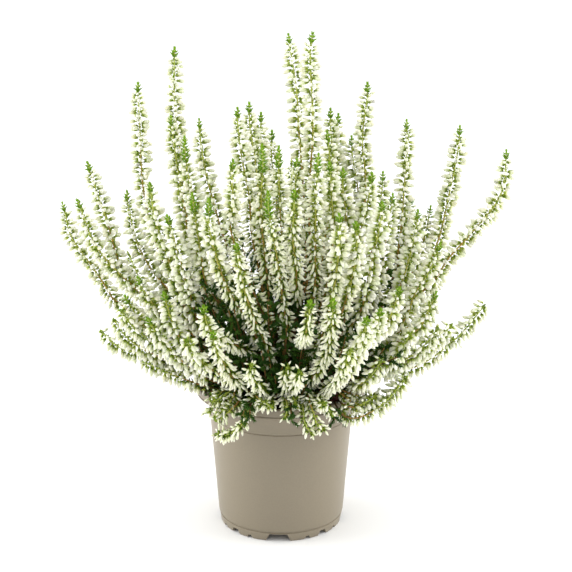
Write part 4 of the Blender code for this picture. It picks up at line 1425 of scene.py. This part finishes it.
def cut_away(target, bm):
    """Cuts a shape out of the target and applies the cut."""
    cutter = add_object("cutter", bm)
    modifier = target.modifiers.new("cut", "BOOLEAN")
    modifier.operation = "DIFFERENCE"
    modifier.object = cutter
    modifier.solver = "EXACT"
    graph = bpy.context.evaluated_depsgraph_get()
    target.data = bpy.data.meshes.new_from_object(target.evaluated_get(graph))
    target.modifiers.clear()
    bpy.data.objects.remove(cutter)


def build_lumps(name, counts, add_one, material, rng):
    """A layer of small lumps over the soil as one piece, some of them in the heap."""
    bm = bmesh.new()
    spread, heaped = counts
    for _ in range(spread):
        reach = SCATTER_RADIUS * math.sqrt(rng.random())
        turn = rng.uniform(0, 2 * math.pi)
        add_one(bm, Vector((reach * math.cos(turn), reach * math.sin(turn), SOIL_TOP)), rng)
    for _ in range(heaped):
        share = math.sqrt(rng.random())
        turn = rng.uniform(0, 2 * math.pi)
        across = Vector((share * HEAP_REACH * math.cos(turn), share * HEAP_REACH * math.sin(turn)))
        rise = HEAP_RISE * (1 - share) * rng.random()
        spot = Vector((HEAP[0] + across.x, HEAP[1] + across.y, SOIL_TOP + rise))
        if math.hypot(spot.x, spot.y) < SCATTER_RADIUS:
            add_one(bm, spot, rng)
    built = add_object(name, bm, material)
    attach(built, "root")


def add_lump(bm, uneven, rng):
    """An uneven little ball, about one unit in radius."""
    lump = bmesh.ops.create_icosphere(bm, subdivisions=1, radius=1)["verts"]
    for vert in lump:
        vert.co *= rng.uniform(*uneven)
    return lump


def add_bark_chip(bm, spot, rng):
    """A chip of bark, flat, tipped a little and turned any way."""
    chip = add_lump(bm, (0.75, 1.2), rng)
    size = Vector((rng.uniform(1.0, 3.2), rng.uniform(0.8, 1.9), rng.uniform(0.5, 1.1))) * MM
    turn = Euler((rng.uniform(-0.6, 0.6), rng.uniform(-0.6, 0.6), rng.uniform(0, 6.3)))
    lifted = spot + Vector((0, 0, rng.uniform(*BARK_LIFTS) * MM))
    bmesh.ops.transform(bm, matrix=Matrix.LocRotScale(lifted, turn, size), verts=chip)


def add_perlite_grain(bm, spot, rng):
    """A round grain of perlite that lies on the chips."""
    grain = add_lump(bm, (0.8, 1.15), rng)
    size = Vector((1, 1, 0.8)) * rng.uniform(0.6, 1.2) * MM
    lifted = spot + Vector((0, 0, PERLITE_LIFT))
    bmesh.ops.transform(bm, matrix=Matrix.LocRotScale(lifted, None, size), verts=grain)


def build_soil():
    """The part's own soil in its dark mix, with loose chips and white grains on it."""
    rng = random.Random(SEED + 2)
    bark_stops = [(0.35, (0.07, 0.024, 0.018)), (0.55, (0.22, 0.07, 0.05)), (0.7, (0.42, 0.17, 0.12))]
    perlite_stops = [(0.3, (0.45, 0.42, 0.36)), (0.7, (0.8, 0.78, 0.72))]
    dark = soil_material("bark_mix", 420, bark_stops)
    white = soil_material("perlite", 700, perlite_stops)
    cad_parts["soil"].data.materials.clear()
    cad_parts["soil"].data.materials.append(dark)
    build_lumps("bark_chips", BARK_CHIPS, add_bark_chip, dark, rng)
    build_lumps("perlite_grains", PERLITE_GRAINS, add_perlite_grain, white, rng)


def add_softbox(name, spot, power):
    """A square soft light that faces the middle of the plant."""
    data = bpy.data.lights.new(name, "AREA")
    data.shape = "RECTANGLE"
    data.size = SOFTBOX_SIZE
    data.size_y = SOFTBOX_SIZE
    data.energy = power
    light = bpy.data.objects.new(name, data)
    light.location = spot
    light.rotation_euler = (Vector((0, 0, 0.1)) - Vector(spot)).to_track_quat("-Z", "Y").to_euler()
    bpy.context.scene.collection.objects.link(light)


def add_floor():
    """The pale studio floor, just under the pot's foot."""
    bm = bmesh.new()
    bmesh.ops.create_grid(bm, x_segments=1, y_segments=1, size=FLOOR_SIZE)
    material, _, shader = new_material("pale_floor", 0.9, 0.1)
    shader.inputs["Base Color"].default_value = (0.93, 0.93, 0.93, 1)
    floor = add_object("studio_floor", bm, material)
    floor.location.z = -FLOOR_DROP


def add_world_light():
    """White light from all round, stronger from above, from both sides and from behind."""
    world = bpy.data.worlds.new("studio")
    world.use_nodes = True
    tree = world.node_tree
    sky = tree.nodes["Background"]
    sky.inputs["Color"].default_value = (1, 1, 1, 1)
    way = tree.nodes.new("ShaderNodeTexCoord")
    parts = tree.nodes.new("ShaderNodeSeparateXYZ")
    tree.links.new(way.outputs["Generated"], parts.inputs[0])
    strength = maths(tree, "MULTIPLY", parts.outputs["Y"], 0.1)
    above = maths(tree, "MULTIPLY", maths(tree, "MAXIMUM", parts.outputs["Z"], 0.0), 0.75)
    to_side = maths(tree, "ABSOLUTE", parts.outputs["X"], 0.0)
    sideways = maths(tree, "MULTIPLY", maths(tree, "POWER", to_side, 3.0), 1.1)
    for share in (above, sideways, 0.6):
        strength = maths(tree, "ADD", strength, share)
    tree.links.new(strength, sky.inputs["Strength"])
    bpy.context.scene.world = world


def add_camera():
    """The camera at the photograph's place."""
    lens = bpy.data.cameras.new("camera")
    lens.sensor_width = SENSOR_WIDTH
    lens.lens = SENSOR_WIDTH * VIEW_FOCUS / PICTURE_SIZE
    lens.shift_x = (PICTURE_SIZE / 2 - PICTURE_MIDDLE[0]) / PICTURE_SIZE
    lens.shift_y = (PICTURE_MIDDLE[1] - PICTURE_SIZE / 2) / PICTURE_SIZE
    camera = bpy.data.objects.new("camera", lens)
    camera.location = (0, -VIEW_DISTANCE * MM, VIEW_HEIGHT * MM)
    camera.rotation_euler = (math.pi / 2 - VIEW_PITCH, 0, 0)
    bpy.context.scene.collection.objects.link(camera)
    bpy.context.scene.camera = camera


add_floor()
add_world_light()
add_softbox("left_softbox", (-1.5, 0.1, 0.6), 16)
add_softbox("right_softbox", (1.5, 0.1, 0.5), 15)
add_camera()
bpy.context.scene.view_settings.view_transform = "Standard"

build_pot()
build_soil()
spikes = planned_spikes()
settle(spikes)
plant_materials = [white_bud_material(), leaf_material(), stem_material()]
build_plant(spikes, plant_materials)
build_trailers(plant_materials)
build_undergrowth(plant_materials)
